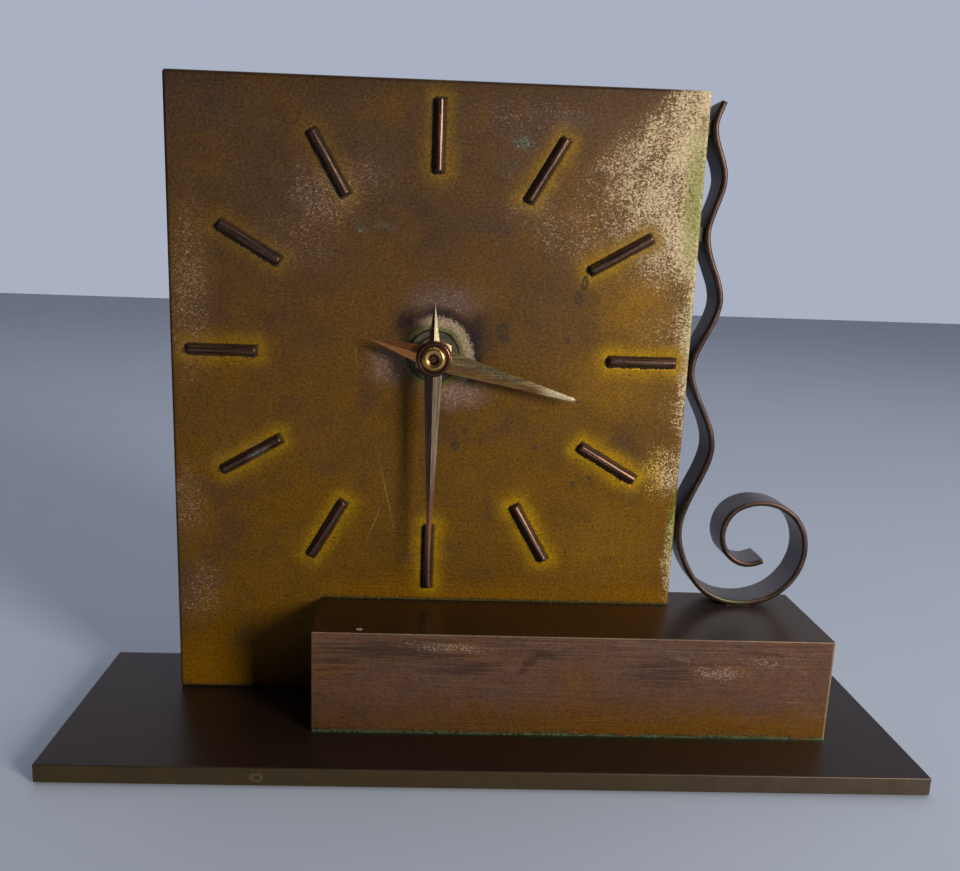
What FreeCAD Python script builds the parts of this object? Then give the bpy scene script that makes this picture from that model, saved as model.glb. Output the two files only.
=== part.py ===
import FreeCAD, Part
import math
import os
import Sketcher

# An Art Deco brass mantel clock: a square dial case standing behind an L-shaped plinth on a thin
# base slab, with a wavy flat strip that ends in a scroll, and a centre-fixed battery movement.
# Frame: origin under the middle of the base, +X to the right, +Y to the back, +Z up, millimetres.

Vector = FreeCAD.Vector
doc = FreeCAD.newDocument("MantelClock")

DIMENSIONS = {
    "felt_thick": 0.8, "felt_radius": 8.0, "felt_inset": 14.0,
    "base_width": 300.0, "base_depth": 89.0, "base_thick": 6.3, "base_edge": 0.5,
    "plinth_left": -62.1, "plinth_width": 185.3, "plinth_front": -19.7,
    "plinth_tall": 37.8, "plinth_sheet": 1.5, "plinth_edge": 0.4,
    "case_left": -116.6, "case_width": 188.1, "case_front": 13.9, "case_depth": 14.3,
    "case_tall": 225.6, "case_sheet": 1.2, "case_bend": 1.2,
    "panel_thick": 1.0, "panel_recess": 0.3, "panel_play": 0.1, "window_side": 58.0,
    "lug_side": 8.0, "lug_deep": 6.0, "rear_screw_radius": 1.5, "rear_head_radius": 2.8,
    "block_wide": 14.0, "block_deep": 9.0, "block_tall": 10.0,
    "base_screw_radius": 2.0, "base_head_radius": 3.8, "base_head_tall": 2.2,
    "screw_play": 0.2, "sink_radius": 4.2, "sink_deep": 3.0,
    "strip_thick": 2.1,
    "dial_x": -22.0, "dial_z": 138.4,
    "marker_ring": 76.0, "marker_long": 24.8, "marker_wide": 3.6, "marker_tall": 2.4,
    "face_hole_radius": 5.2, "bush_radius": 5.0, "bush_bore": 3.06, "bush_front": 9.3,
    "washer_radius": 9.0, "washer_thick": 0.6, "nut_flats": 13.0, "nut_thick": 2.4,
    "gasket_radius": 12.0, "gasket_thick": 1.0,
    "hour_pipe_radius": 3.0, "hour_pipe_bore": 2.06, "minute_pipe_radius": 2.0,
    "minute_pipe_bore": 0.76, "second_arbor_radius": 0.7,
    "hour_hand_back": 7.7, "minute_hand_back": 4.0, "hand_edge": 0.4,
    "hub_radius": 6.1, "hub_thick": 1.0, "cap_radius": 4.5, "cap_tall": 1.8,
    "move_side": 56.0, "move_wall": 1.2, "move_deep": 17.0, "divider": 0.8,
    "bay_tall": 14.6, "cell_radius": 7.1, "cell_long": 49.2,
    "plate_front": 24.5, "plate_thick": 0.8, "post_radius": 1.8, "boss_radius": 1.7,
    "boss_tall": 1.0, "pivot_radius": 0.6, "pivot_play": 0.06,
    "knob_radius": 5.5, "knob_tall": 4.8, "knob_shaft_radius": 1.2,
}
sheet = doc.addObject("Spreadsheet::Sheet", "Size")
for row, (alias, value) in enumerate(DIMENSIONS.items(), start=1):
    sheet.set(f"A{row}", alias)
    sheet.set(f"B{row}", str(value))
    sheet.setAlias(f"B{row}", alias)
doc.recompute()


def size(alias):
    """The sheet's value of one driving dimension, as a plain number."""
    return float(sheet.get(alias))


# Heights and depths that several pieces share.
BASE_TOP = "Size.felt_thick + Size.base_thick"
PLINTH_TOP = f"{BASE_TOP} + Size.plinth_tall"
CASE_BACK = "Size.case_front + Size.case_depth"
FACE_BACK = "Size.case_front + Size.case_sheet"
MOVE_FRONT = f"{FACE_BACK} + Size.gasket_thick"
MOVE_BACK = f"{MOVE_FRONT} + Size.move_deep"
COVER_FRONT = f"{MOVE_BACK} - Size.move_wall"
ALONG_Y = FreeCAD.Rotation(Vector(1, 0, 0), -90)
nodes = []


def named(obj, label):
    """Marks an object as a finished sub-part, whose label names its file."""
    obj.Label = label
    nodes.append(obj)
    return obj


def place(obj, corner):
    """Binds an object's position to three expressions."""
    for axis, text in zip("xyz", corner):
        obj.setExpression(f"Placement.Base.{axis}", text)
    return obj


def block(name, sides, corner):
    """A rectangular solid from its sides along X, Y, Z and its lowest corner."""
    solid = doc.addObject("Part::Box", name)
    for prop, text in zip(("Length", "Width", "Height"), sides):
        solid.setExpression(prop, text)
    return place(solid, corner)


def rod(name, radius, length, start, along_y=True):
    """A cylinder along +Y, or along +Z, from the middle of its first end."""
    solid = doc.addObject("Part::Cylinder", name)
    solid.setExpression("Radius", radius)
    solid.setExpression("Height", length)
    if along_y:
        solid.Placement = FreeCAD.Placement(Vector(), ALONG_Y)
    return place(solid, start)


def dial_rod(name, radius, y_front, y_back, across="0", up="0"):
    """A cylinder along +Y at a place measured from the dial's centre."""
    start = (f"Size.dial_x + ({across})", y_front, f"Size.dial_z + ({up})")
    return rod(name, radius, f"({y_back}) - ({y_front})", start)


def dial_block(name, across, up, y_front, y_back):
    """A rectangular solid between two limits across, up and back, from the dial's centre."""
    sides = (f"({across[1]}) - ({across[0]})", f"({y_back}) - ({y_front})",
             f"({up[1]}) - ({up[0]})")
    corner = (f"Size.dial_x + ({across[0]})", y_front, f"Size.dial_z + ({up[0]})")
    return block(name, sides, corner)


def joined(name, *solids):
    """One solid from several that touch or overlap."""
    fusion = doc.addObject("Part::MultiFuse", name)
    fusion.Shapes = list(solids)
    return fusion


def group(name, *solids):
    """Several separate solids kept together, such as a set of screws."""
    compound = doc.addObject("Part::Compound", name)
    compound.Links = list(solids)
    return compound


def cut(name, solid, *tools):
    """A solid with one or more others taken out of it."""
    result = doc.addObject("Part::Cut", name)
    result.Base = solid
    result.Tool = tools[0] if len(tools) == 1 else joined(f"{name}_tools", *tools)
    return result


def fixed(name, shape):
    """A shape made by this script's own geometry, as a document object."""
    feature = doc.addObject("Part::Feature", name)
    feature.Shape = shape
    return feature


# ---- PartDesign helpers -------------------------------------------------------------------

def new_body(name, corner):
    """An empty body whose origin is bound to a place."""
    body = doc.addObject("PartDesign::Body", name)
    return place(body, corner)


def sketch_on(body, role, name):
    """A sketch lying on one of the body's own origin planes."""
    sketch = body.newObject("Sketcher::SketchObject", name)
    plane = next(item for item in body.Origin.OriginFeatures if item.Role == role)
    sketch.AttachmentSupport = [(plane, "")]
    sketch.MapMode = "FlatFace"
    return sketch


def sketch_rectangle(sketch, width, tall, left, low):
    """A rectangle whose size and lower left corner are bound to expressions."""
    corners = [Vector(0, 0), Vector(10, 0), Vector(10, 10), Vector(0, 10)]
    first = sketch.GeometryCount
    for start, end in zip(corners, corners[1:] + corners[:1]):
        sketch.addGeometry(Part.LineSegment(start, end), False)
    for side in range(4):
        sketch.addConstraint(Sketcher.Constraint(
            "Coincident", first + side, 2, first + (side + 1) % 4, 1))
    for side, rule in enumerate(("Horizontal", "Vertical", "Horizontal", "Vertical")):
        sketch.addConstraint(Sketcher.Constraint(rule, first + side))
    bound = (("DistanceX", (first, 1, first, 2), width), ("DistanceY", (first + 1, 1, first + 1, 2), tall),
             ("DistanceX", (-1, 1, first, 1), left), ("DistanceY", (-1, 1, first, 1), low))
    for kind, ends, text in bound:
        number = sketch.addConstraint(Sketcher.Constraint(kind, *ends, 1.0))
        sketch.setExpression(f"Constraints[{number}]", text)


def sketch_circle(sketch, radius, across, up):
    """A circle whose radius and centre are bound to expressions."""
    circle = sketch.addGeometry(Part.Circle(Vector(5, 5), Vector(0, 0, 1), 1), False)
    for kind, ends, text in (("Radius", (circle,), radius),
                             ("DistanceX", (-1, 1, circle, 3), across),
                             ("DistanceY", (-1, 1, circle, 3), up)):
        number = sketch.addConstraint(Sketcher.Constraint(kind, *ends, 1.0))
        sketch.setExpression(f"Constraints[{number}]", text)


def pad(body, sketch, length, backwards=False):
    """A pad of a sketch, away from its plane."""
    feature = body.newObject("PartDesign::Pad", sketch.Name + "_pad")
    feature.Profile = sketch
    feature.setExpression("Length", length)
    feature.Reversed = backwards
    body.Tip = feature
    return feature


def pocket(body, sketch, length, backwards=False):
    """A pocket of a sketch into the solid, checked to have removed something."""
    doc.recompute()
    before = body.Tip.Shape.Volume
    feature = body.newObject("PartDesign::Pocket", sketch.Name + "_pocket")
    feature.Profile = sketch
    feature.setExpression("Length", length)
    feature.Reversed = backwards
    body.Tip = feature
    doc.recompute()
    if feature.Shape.Volume > before - 1e-6:
        raise RuntimeError(f"{feature.Name} removes nothing")
    return feature


# ---- Base, felts and the screws from beneath ----------------------------------------------

PLINTH_SCREWS = [("Size.plinth_left + 30", "Size.plinth_front + 6.5"),
                 ("Size.plinth_left + Size.plinth_width - 22", "Size.plinth_front + 6.5")]
CASE_SCREWS = [("Size.case_left + 24", f"{FACE_BACK} + 4.5"),
               ("Size.case_left + Size.case_width - 24", f"{FACE_BACK} + 4.5")]


def make_base():
    body = new_body("base_plate", ("0", "0", "Size.felt_thick"))
    outline = sketch_on(body, "XY_Plane", "base_outline")
    sketch_rectangle(outline, "Size.base_width", "Size.base_depth",
                     "-Size.base_width / 2", "-Size.base_depth / 2")
    slab = pad(body, outline, "Size.base_thick")
    doc.recompute()
    edges = [f"Edge{number}" for number, edge in enumerate(slab.Shape.Edges, start=1)
             if edge.BoundBox.ZMax > size("base_thick") / 2]
    rounding = body.newObject("PartDesign::Fillet", "base_edges")
    rounding.Base = (slab, edges)
    rounding.setExpression("Radius", "Size.base_edge")
    body.Tip = rounding
    for name, radius, depth in (("screw_hole", "Size.base_screw_radius + Size.screw_play", "Size.base_thick"),
                                ("head_sink", "Size.sink_radius", "Size.sink_deep")):
        holes = sketch_on(body, "XY_Plane", name)
        for across, back in PLINTH_SCREWS + CASE_SCREWS:
            sketch_circle(holes, radius, across, back)
        pocket(body, holes, depth, backwards=True)
    named(body, "base_plate")


def make_felts():
    felts = []
    for side in (-1, 1):
        for depth in (-1, 1):
            start = (f"{side} * (Size.base_width / 2 - Size.felt_inset)",
                     f"{depth} * (Size.base_depth / 2 - Size.felt_inset)", "0")
            felts.append(rod(f"felt_{len(felts) + 1}", "Size.felt_radius", "Size.felt_thick",
                             start, along_y=False))
    named(group("felt_set", *felts), "felt_pads")


def make_base_screws():
    """Cheese-head screws, sunk in the base, up into the blocks above."""
    head_low = "Size.felt_thick + Size.sink_deep - Size.base_head_tall"
    shank_low = "Size.felt_thick + Size.sink_deep"
    screws = []
    for number, (across, back) in enumerate(PLINTH_SCREWS + CASE_SCREWS, start=1):
        head = rod(f"base_head_{number}", "Size.base_head_radius", "Size.base_head_tall",
                   (across, back, head_low), along_y=False)
        shank = rod(f"base_shank_{number}", "Size.base_screw_radius",
                    "Size.base_thick - Size.sink_deep + Size.block_tall - 1",
                    (across, back, shank_low), along_y=False)
        slot = block(f"base_slot_{number}", ("2 * Size.base_head_radius", "1", "1"),
                     (f"{across} - Size.base_head_radius", f"{back} - 0.5", head_low))
        screws.append(cut(f"base_screw_{number}", joined(f"base_screw_blank_{number}", head, shank), slot))
    named(group("base_screw_set", *screws), "base_screws")


def tapped_block(name, across, back, low, deep):
    """A brass block with a blind screw hole in its underside."""
    body = block(name, ("Size.block_wide", deep, "Size.block_tall"),
                 (f"{across} - Size.block_wide / 2", f"{back} - ({deep}) / 2", low))
    hole = rod(f"{name}_hole", "Size.base_screw_radius + 0.02", "Size.block_tall - 1 + 0.1",
               (across, back, f"{low} - 0.1"), along_y=False)
    return cut(f"{name}_tapped", body, hole)


# ---- Plinth and case ----------------------------------------------------------------------

def make_plinth():
    """A soldered sheet box, L-shaped in plan, that wraps the front and right side of the case."""
    wing_left = "Size.case_left + Size.case_width"
    wing_width = f"Size.plinth_left + Size.plinth_width - ({wing_left})"
    front_deep = "Size.case_front - Size.plinth_front"
    sheet_wall = "Size.plinth_sheet"
    front = block("plinth_front_outer", ("Size.plinth_width", front_deep, "Size.plinth_tall"),
                  ("Size.plinth_left", "Size.plinth_front", BASE_TOP))
    wing = block("plinth_wing_outer", (wing_width, "Size.case_depth", "Size.plinth_tall"),
                 (wing_left, "Size.case_front", BASE_TOP))
    inner_tall = f"Size.plinth_tall - {sheet_wall} + 1"
    front_inner = block("plinth_front_inner",
                        (f"Size.plinth_width - 2 * {sheet_wall}", f"{front_deep} - 2 * {sheet_wall}", inner_tall),
                        (f"Size.plinth_left + {sheet_wall}", f"Size.plinth_front + {sheet_wall}", f"{BASE_TOP} - 1"))
    wing_inner = block("plinth_wing_inner", (f"{wing_width} - 2 * {sheet_wall}", "Size.case_depth", inner_tall),
                       (f"{wing_left} + {sheet_wall}", f"Size.case_front - {sheet_wall}", f"{BASE_TOP} - 1"))
    outer = joined("plinth_outer", front, wing)
    outer.Refine = True
    doc.recompute()
    front_y, right_x = size("plinth_front"), size("plinth_left") + size("plinth_width")
    left_x, low_z = size("plinth_left"), size("felt_thick") + size("base_thick")
    shown = []
    for number, edge in enumerate(outer.Shape.Edges, start=1):
        box = edge.BoundBox
        on_front = box.YMax < front_y + 1e-3
        on_side = box.XMin > right_x - 1e-3 or (box.XMax < left_x + 1e-3 and box.ZMin > low_z + 1)
        if (on_front or on_side) and box.ZMax > low_z + 1:
            shown.append((number, size("plinth_edge"), size("plinth_edge")))
    eased = doc.addObject("Part::Fillet", "plinth_eased")
    eased.Base = outer
    eased.Edges = shown
    named(cut("plinth_shell", eased, front_inner, wing_inner), "plinth_box")
    blocks = [tapped_block(f"plinth_block_{number}", across, back, BASE_TOP, "2 * (6.5 - Size.plinth_sheet)")
              for number, (across, back) in enumerate(PLINTH_SCREWS, start=1)]
    named(group("plinth_block_set", *blocks), "plinth_blocks")


def make_case():
    """A folded sheet tray, open at the back, with rounded bends and a hole for the movement's bush."""
    outer = block("case_outer", ("Size.case_width", "Size.case_depth", "Size.case_tall"),
                  ("Size.case_left", "Size.case_front", BASE_TOP))
    doc.recompute()
    front_y = size("case_front") + 1e-3
    bends = doc.addObject("Part::Fillet", "case_bends")
    bends.Base = outer
    bends.Edges = [(number, size("case_bend"), size("case_bend"))
                   for number, edge in enumerate(outer.Shape.Edges, start=1)
                   if edge.BoundBox.YMin < front_y or edge.BoundBox.YMax - edge.BoundBox.YMin > 1]
    inner = block("case_inner",
                  ("Size.case_width - 2 * Size.case_sheet", "Size.case_depth", "Size.case_tall - 2 * Size.case_sheet"),
                  ("Size.case_left + Size.case_sheet", FACE_BACK, f"{BASE_TOP} + Size.case_sheet"))
    tools = [inner, dial_rod("face_hole", "Size.face_hole_radius", "Size.case_front - 1", f"{FACE_BACK} + 1")]
    for number, (across, back) in enumerate(CASE_SCREWS, start=1):
        tools.append(rod(f"case_screw_hole_{number}", "Size.base_screw_radius + Size.screw_play",
                         "Size.case_sheet + 2", (across, back, f"{BASE_TOP} - 1"), along_y=False))
    named(cut("case_folded", bends, *tools), "case_shell")
    blocks = [tapped_block(f"case_block_{number}", across, back, f"{BASE_TOP} + Size.case_sheet", "Size.block_deep")
              for number, (across, back) in enumerate(CASE_SCREWS, start=1)]
    named(group("case_block_set", *blocks), "case_blocks")


PANEL_BACK = f"{CASE_BACK} - Size.panel_recess"
PANEL_FRONT = f"{PANEL_BACK} - Size.panel_thick"
LUG_INSET = "Size.case_sheet + Size.panel_play + Size.lug_side / 2"
LUG_PLACES = [(f"Size.case_left + {LUG_INSET}", f"{BASE_TOP} + {LUG_INSET}"),
              (f"Size.case_left + Size.case_width - ({LUG_INSET})", f"{BASE_TOP} + {LUG_INSET}"),
              (f"Size.case_left + {LUG_INSET}", f"{BASE_TOP} + Size.case_tall - ({LUG_INSET})"),
              (f"Size.case_left + Size.case_width - ({LUG_INSET})",
               f"{BASE_TOP} + Size.case_tall - ({LUG_INSET})")]


def make_rear_panel():
    """A flat sheet let into the back of the case, with a window for the movement."""
    edge = "Size.case_sheet + Size.panel_play"
    body = new_body("rear_panel", ("0", PANEL_FRONT, "0"))
    outline = sketch_on(body, "XZ_Plane", "panel_outline")
    sketch_rectangle(outline, f"Size.case_width - 2 * ({edge})", f"Size.case_tall - 2 * ({edge})",
                     f"Size.case_left + {edge}", f"{BASE_TOP} + {edge}")
    pad(body, outline, "Size.panel_thick", backwards=True)
    window = sketch_on(body, "XZ_Plane", "panel_window")
    sketch_rectangle(window, "Size.window_side", "Size.window_side",
                     "Size.dial_x - Size.window_side / 2", "Size.dial_z - Size.window_side / 2")
    pocket(body, window, "Size.panel_thick")
    holes = sketch_on(body, "XZ_Plane", "panel_holes")
    for across, up in LUG_PLACES:
        sketch_circle(holes, "Size.rear_screw_radius + Size.screw_play", across, up)
    pocket(body, holes, "Size.panel_thick")
    named(body, "rear_panel")


def make_lugs_and_rear_screws():
    """Corner lugs inside the case, each with a pan-head screw through the rear panel."""
    lugs = []
    screws = []
    lug_front = f"{PANEL_FRONT} - Size.lug_deep"
    for number, (across, up) in enumerate(LUG_PLACES, start=1):
        lug = block(f"lug_{number}", ("Size.lug_side", "Size.lug_deep", "Size.lug_side"),
                    (f"{across} - Size.lug_side / 2", lug_front, f"{up} - Size.lug_side / 2"))
        hole = rod(f"lug_hole_{number}", "Size.rear_screw_radius + 0.02", "Size.lug_deep",
                   (across, f"{lug_front} + 1", up))
        lugs.append(cut(f"lug_tapped_{number}", lug, hole))
        shank = rod(f"rear_shank_{number}", "Size.rear_screw_radius", "Size.lug_deep - 1.5 + Size.panel_thick",
                    (across, f"{lug_front} + 1.5", up))
        head = doc.addObject("Part::Cone", f"rear_head_{number}")
        head.setExpression("Radius1", "Size.rear_head_radius")
        head.setExpression("Radius2", "Size.rear_head_radius - 0.6")
        head.Height = 1.5
        head.Placement = FreeCAD.Placement(Vector(), ALONG_Y)
        place(head, (across, PANEL_BACK, up))
        slot = block(f"rear_slot_{number}", ("2 * Size.rear_head_radius", "0.8", "0.7"),
                     (f"{across} - Size.rear_head_radius", f"{PANEL_BACK} + 0.8", f"{up} - 0.35"))
        screws.append(cut(f"rear_screw_{number}", joined(f"rear_screw_blank_{number}", shank, head), slot))
    named(group("lug_set", *lugs), "corner_lugs")
    named(group("rear_screw_set", *screws), "rear_screws")


# ---- Wavy strip with its scroll -----------------------------------------------------------

# The strip's middle line seen from the front, from the free top end, down the waves beside the
# case, round the contact with the plinth and into the scroll: x, z.
STRIP_LINE = [
    (76.6, 229.9), (73.9, 221.0), (78.6, 204.5), (76.3, 193.5), (74.4, 184.5), (77.4, 173.3),
    (81.0, 161.8), (77.4, 149.6), (72.9, 136.6), (77.4, 123.2), (83.0, 107.5), (78.6, 92.6),
    (73.5, 75.0), (78.0, 59.8), (86.0, 50.1), (98.2, 46.15), (114.4, 50.9), (122.8, 66.5),
    (118.7, 79.8), (104.5, 86.3), (93.4, 81.9), (90.4, 73.0), (94.1, 64.8), (101.0, 61.9), (107.5, 63.7)]
SAMPLES_PER_SPAN = 3


def ribbon_face(points, thick, y):
    """A closed face of even thickness about a smooth curve, in the plane across Y."""
    middle = Part.BSplineCurve()
    middle.interpolate([Vector(x, y, z) for x, z in points])
    count = SAMPLES_PER_SPAN * (len(points) - 1)
    sides = ([], [])
    for step in range(count + 1):
        where = middle.FirstParameter + (middle.LastParameter - middle.FirstParameter) * step / count
        along = middle.tangent(where)[0]
        across = Vector(-along.z, 0, along.x).normalize() * (thick / 2)
        sides[0].append(middle.value(where) + across)
        sides[1].append(middle.value(where) - across)
    curves = []
    for side in sides:
        curve = Part.BSplineCurve()
        curve.interpolate(side)
        curves.append(curve.toShape())
    ends = [Part.makeLine(sides[0][end], sides[1][end]) for end in (0, -1)]
    return Part.Face(Part.Wire(Part.__sortEdges__(curves + ends)))


def make_strip():
    face = ribbon_face(STRIP_LINE, size("strip_thick"), size("case_front"))
    strip = fixed("strip_ribbon", face.extrude(Vector(0, size("case_depth"), 0)))
    named(strip, "scroll_strip")
    # solder fills the small gap between each crest of the strip and the case's side
    case_right = "Size.case_left + Size.case_width"
    pads = []
    for number, (crest_z, tall) in enumerate(((221.0, 5.0), (184.5, 5.0), (136.6, 4.0), (75.0, 5.0)), start=1):
        filler = block(f"solder_blank_{number}", ("2.2", "Size.case_depth - 3", str(tall)),
                       (case_right, "Size.case_front + 1.5", str(crest_z - tall / 2)))
        pads.append(cut(f"solder_{number}", filler, strip))
    filler = block("solder_blank_plinth", ("9", "Size.case_depth - 1.2", "1.0"),
                   ("94.5", "Size.case_front + 0.6", PLINTH_TOP))
    pads.append(cut("solder_plinth", filler, strip))
    named(group("solder_set", *pads), "solder_pads")


# ---- Dial furniture and hands -------------------------------------------------------------

def make_markers():
    """Twelve bars on the face, set out radially; the top edges are rounded."""
    long, wide, tall = size("marker_long"), size("marker_wide"), size("marker_tall")
    centre = Vector(size("dial_x"), size("case_front"), size("dial_z"))
    for hour in range(1, 13):
        bar = doc.addObject("Part::Box", f"marker_bar_{hour:02d}")
        bar.setExpression("Length", "Size.marker_wide")
        bar.setExpression("Width", "Size.marker_tall")
        bar.setExpression("Height", "Size.marker_long")
        turn = FreeCAD.Rotation(Vector(0, 1, 0), 30 * hour)
        corner = Vector(-wide / 2, -tall, size("marker_ring") - long / 2)
        bar.Placement = FreeCAD.Placement(centre + turn.multVec(corner), turn)
        doc.recompute()
        front = [number for number, edge in enumerate(bar.Shape.Edges, start=1)
                 if edge.BoundBox.YMax < size("case_front") - tall + 1e-3]
        rounded = doc.addObject("Part::Fillet", f"marker_rounded_{hour:02d}")
        rounded.Base = bar
        rounded.Edges = [(number, wide / 5, wide / 5) for number in front]
        named(rounded, f"hour_marker_{hour:02d}")


def make_dial_fixing():
    """Washer and hexagon nut on the movement's threaded bush, and the soft gasket behind the face."""
    washer_front = "Size.case_front - Size.washer_thick"
    washer = dial_rod("washer_disc", "Size.washer_radius", washer_front, "Size.case_front")
    washer_hole = dial_rod("washer_hole", "Size.bush_radius + 0.1", f"{washer_front} - 1", "Size.case_front + 1")
    named(cut("washer_ring", washer, washer_hole), "dial_washer")

    nut = doc.addObject("Part::Prism", "nut_hexagon")
    nut.Polygon = 6
    nut.setExpression("Circumradius", "Size.nut_flats / 2 / cos(30)")
    nut.setExpression("Height", "Size.nut_thick")
    nut.Placement = FreeCAD.Placement(Vector(), ALONG_Y * FreeCAD.Rotation(Vector(0, 0, 1), -33))
    place(nut, ("Size.dial_x", f"{washer_front} - Size.nut_thick", "Size.dial_z"))
    crown = doc.addObject("Part::Cone", "nut_crown")
    crown.setExpression("Radius1", "Size.nut_flats / 2")
    crown.setExpression("Radius2", "Size.nut_flats / 2 + Size.nut_thick * 1.6")
    crown.setExpression("Height", "Size.nut_thick")
    crown.Placement = FreeCAD.Placement(Vector(), ALONG_Y)
    place(crown, ("Size.dial_x", f"{washer_front} - Size.nut_thick", "Size.dial_z"))
    chamfered = doc.addObject("Part::MultiCommon", "nut_chamfered")
    chamfered.Shapes = [nut, crown]
    nut_hole = dial_rod("nut_hole", "Size.bush_radius + 0.02", f"{washer_front} - Size.nut_thick - 1", washer_front)
    named(cut("nut_ring", chamfered, nut_hole), "dial_nut")

    gasket = dial_rod("gasket_disc", "Size.gasket_radius", FACE_BACK, MOVE_FRONT)
    gasket_hole = dial_rod("gasket_hole", "Size.bush_radius + 0.3", f"{FACE_BACK} - 1", f"{MOVE_FRONT} + 1")
    named(cut("gasket_ring", gasket, gasket_hole), "dial_gasket")


def ridged_blade(first, last):
    """A blade between two sections, each (distance, width, edge thickness, ridge height)."""
    wires = []
    for distance, width, edge, ridge in (first, last):
        corners = [Vector(-width / 2, 0, distance), Vector(width / 2, 0, distance),
                   Vector(width / 2, -edge, distance), Vector(0, -ridge, distance),
                   Vector(-width / 2, -edge, distance)]
        wires.append(Part.makePolygon(corners + corners[:1]))
    return Part.makeLoft(wires, True, True)


def hand_shape(arm, tail, tip, hub_radius, bore, collet):
    """A hand pointing up, its back in the plane Y = 0: arm, pointed tip, tail, hub and collet tube."""
    edge, thick = size("hand_edge"), size("hub_thick")
    root_width, end_width, end = arm
    solid = ridged_blade((0, root_width, edge, thick), (end, end_width, edge, edge + 0.15))
    solid = solid.fuse(ridged_blade((end, end_width, edge, edge + 0.15), (tip, 0.3, edge, edge + 0.02)))
    tail_width, tail_tip = tail
    turned = ridged_blade((0, tail_width, edge, thick), (tail_tip, 0.4, edge, edge + 0.02))
    turned.rotate(Vector(), Vector(0, 1, 0), 180)
    hub = Part.makeCylinder(hub_radius, thick, Vector(0, -thick, 0), Vector(0, 1, 0))
    solid = solid.fuse([turned, hub])
    if collet:
        radius, long = collet
        solid = solid.fuse(Part.makeCylinder(radius, long, Vector(), Vector(0, 1, 0)))
    hole = Part.makeCylinder(bore, 10, Vector(0, -5, 0), Vector(0, 1, 0))
    return solid.cut(hole).removeSplitter()


# The hands stand at half past three: the angle is clockwise from twelve.
MINUTE_ANGLE = 180
HOUR_ANGLE = 105


def make_hands():
    """Each hand's arm is (root width, end width, end distance); its tail is (width, tip distance)."""
    for label, back, angle, shape in (
            ("minute_hand", "minute_hand_back", MINUTE_ANGLE,
             hand_shape((6.8, 1.1, 70.0), (5.4, 19.0), 75.0, size("hub_radius"),
                        size("minute_pipe_radius") + 0.01, None)),
            ("hour_hand", "hour_hand_back", HOUR_ANGLE,
             hand_shape((8.6, 1.4, 52.0), (8.4, 23.0), 56.0, 5.6,
                        size("hour_pipe_radius") + 0.01, (4.3, 1.3)))):
        hand = fixed(f"{label}_blade", shape)
        hand.Placement = FreeCAD.Placement(Vector(size("dial_x"), size(back), size("dial_z")),
                                           FreeCAD.Rotation(Vector(0, 1, 0), angle))
        named(hand, label)


def make_hand_nut():
    """A domed round nut, open in the middle, turned from its half section about the dial's axis."""
    body = new_body("hand_nut", ("Size.dial_x", "Size.minute_hand_back - Size.hub_thick", "Size.dial_z"))
    section = sketch_on(body, "YZ_Plane", "nut_section")
    # the sketch's x runs to the back along Y and its y is the radius
    tall, radius = size("cap_tall"), size("cap_radius")
    thread, mouth = size("minute_pipe_radius") + 0.01, 1.2
    flat = tall * 0.35
    points = [Vector(0, thread), Vector(0, radius), Vector(-flat, radius), Vector(-tall, radius * 0.5),
              Vector(-tall, mouth), Vector(-tall + 0.5, mouth), Vector(-tall + 0.5, thread)]
    for start, end in zip(points, points[1:] + points[:1]):
        if start == points[2]:
            middle = Vector(-tall * 0.82, radius * 0.84)
            section.addGeometry(Part.Arc(start, middle, end), False)
        else:
            section.addGeometry(Part.LineSegment(start, end), False)
    turned = body.newObject("PartDesign::Revolution", "nut_turned")
    turned.Profile = section
    turned.ReferenceAxis = (section, ["H_Axis"])
    turned.Angle = 360
    body.Tip = turned
    named(body, "hand_nut")


# ---- Movement: housing, plate, battery ----------------------------------------------------

HALF = "Size.move_side / 2"
INNER = f"{HALF} - Size.move_wall"
BAY_TOP = f"-({INNER}) + Size.bay_tall"
GEAR_LOW = f"{BAY_TOP} + Size.divider"
POSTS = [(-23.5, -7.5), (-23.5, 13.5), (22.8, 2.5)]

# Axes of the train, measured across and up from the dial's centre.
THIRD_AXIS = (-11.50, 4.19)
FIFTH_AXIS = (8.5, 4.9)
MINUTE_WHEEL_AXIS = (7.893, -2.873)
KNOB_AXIS = (15.506, -6.423)
ROTOR_AXIS = (14.124, 11.603)


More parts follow.
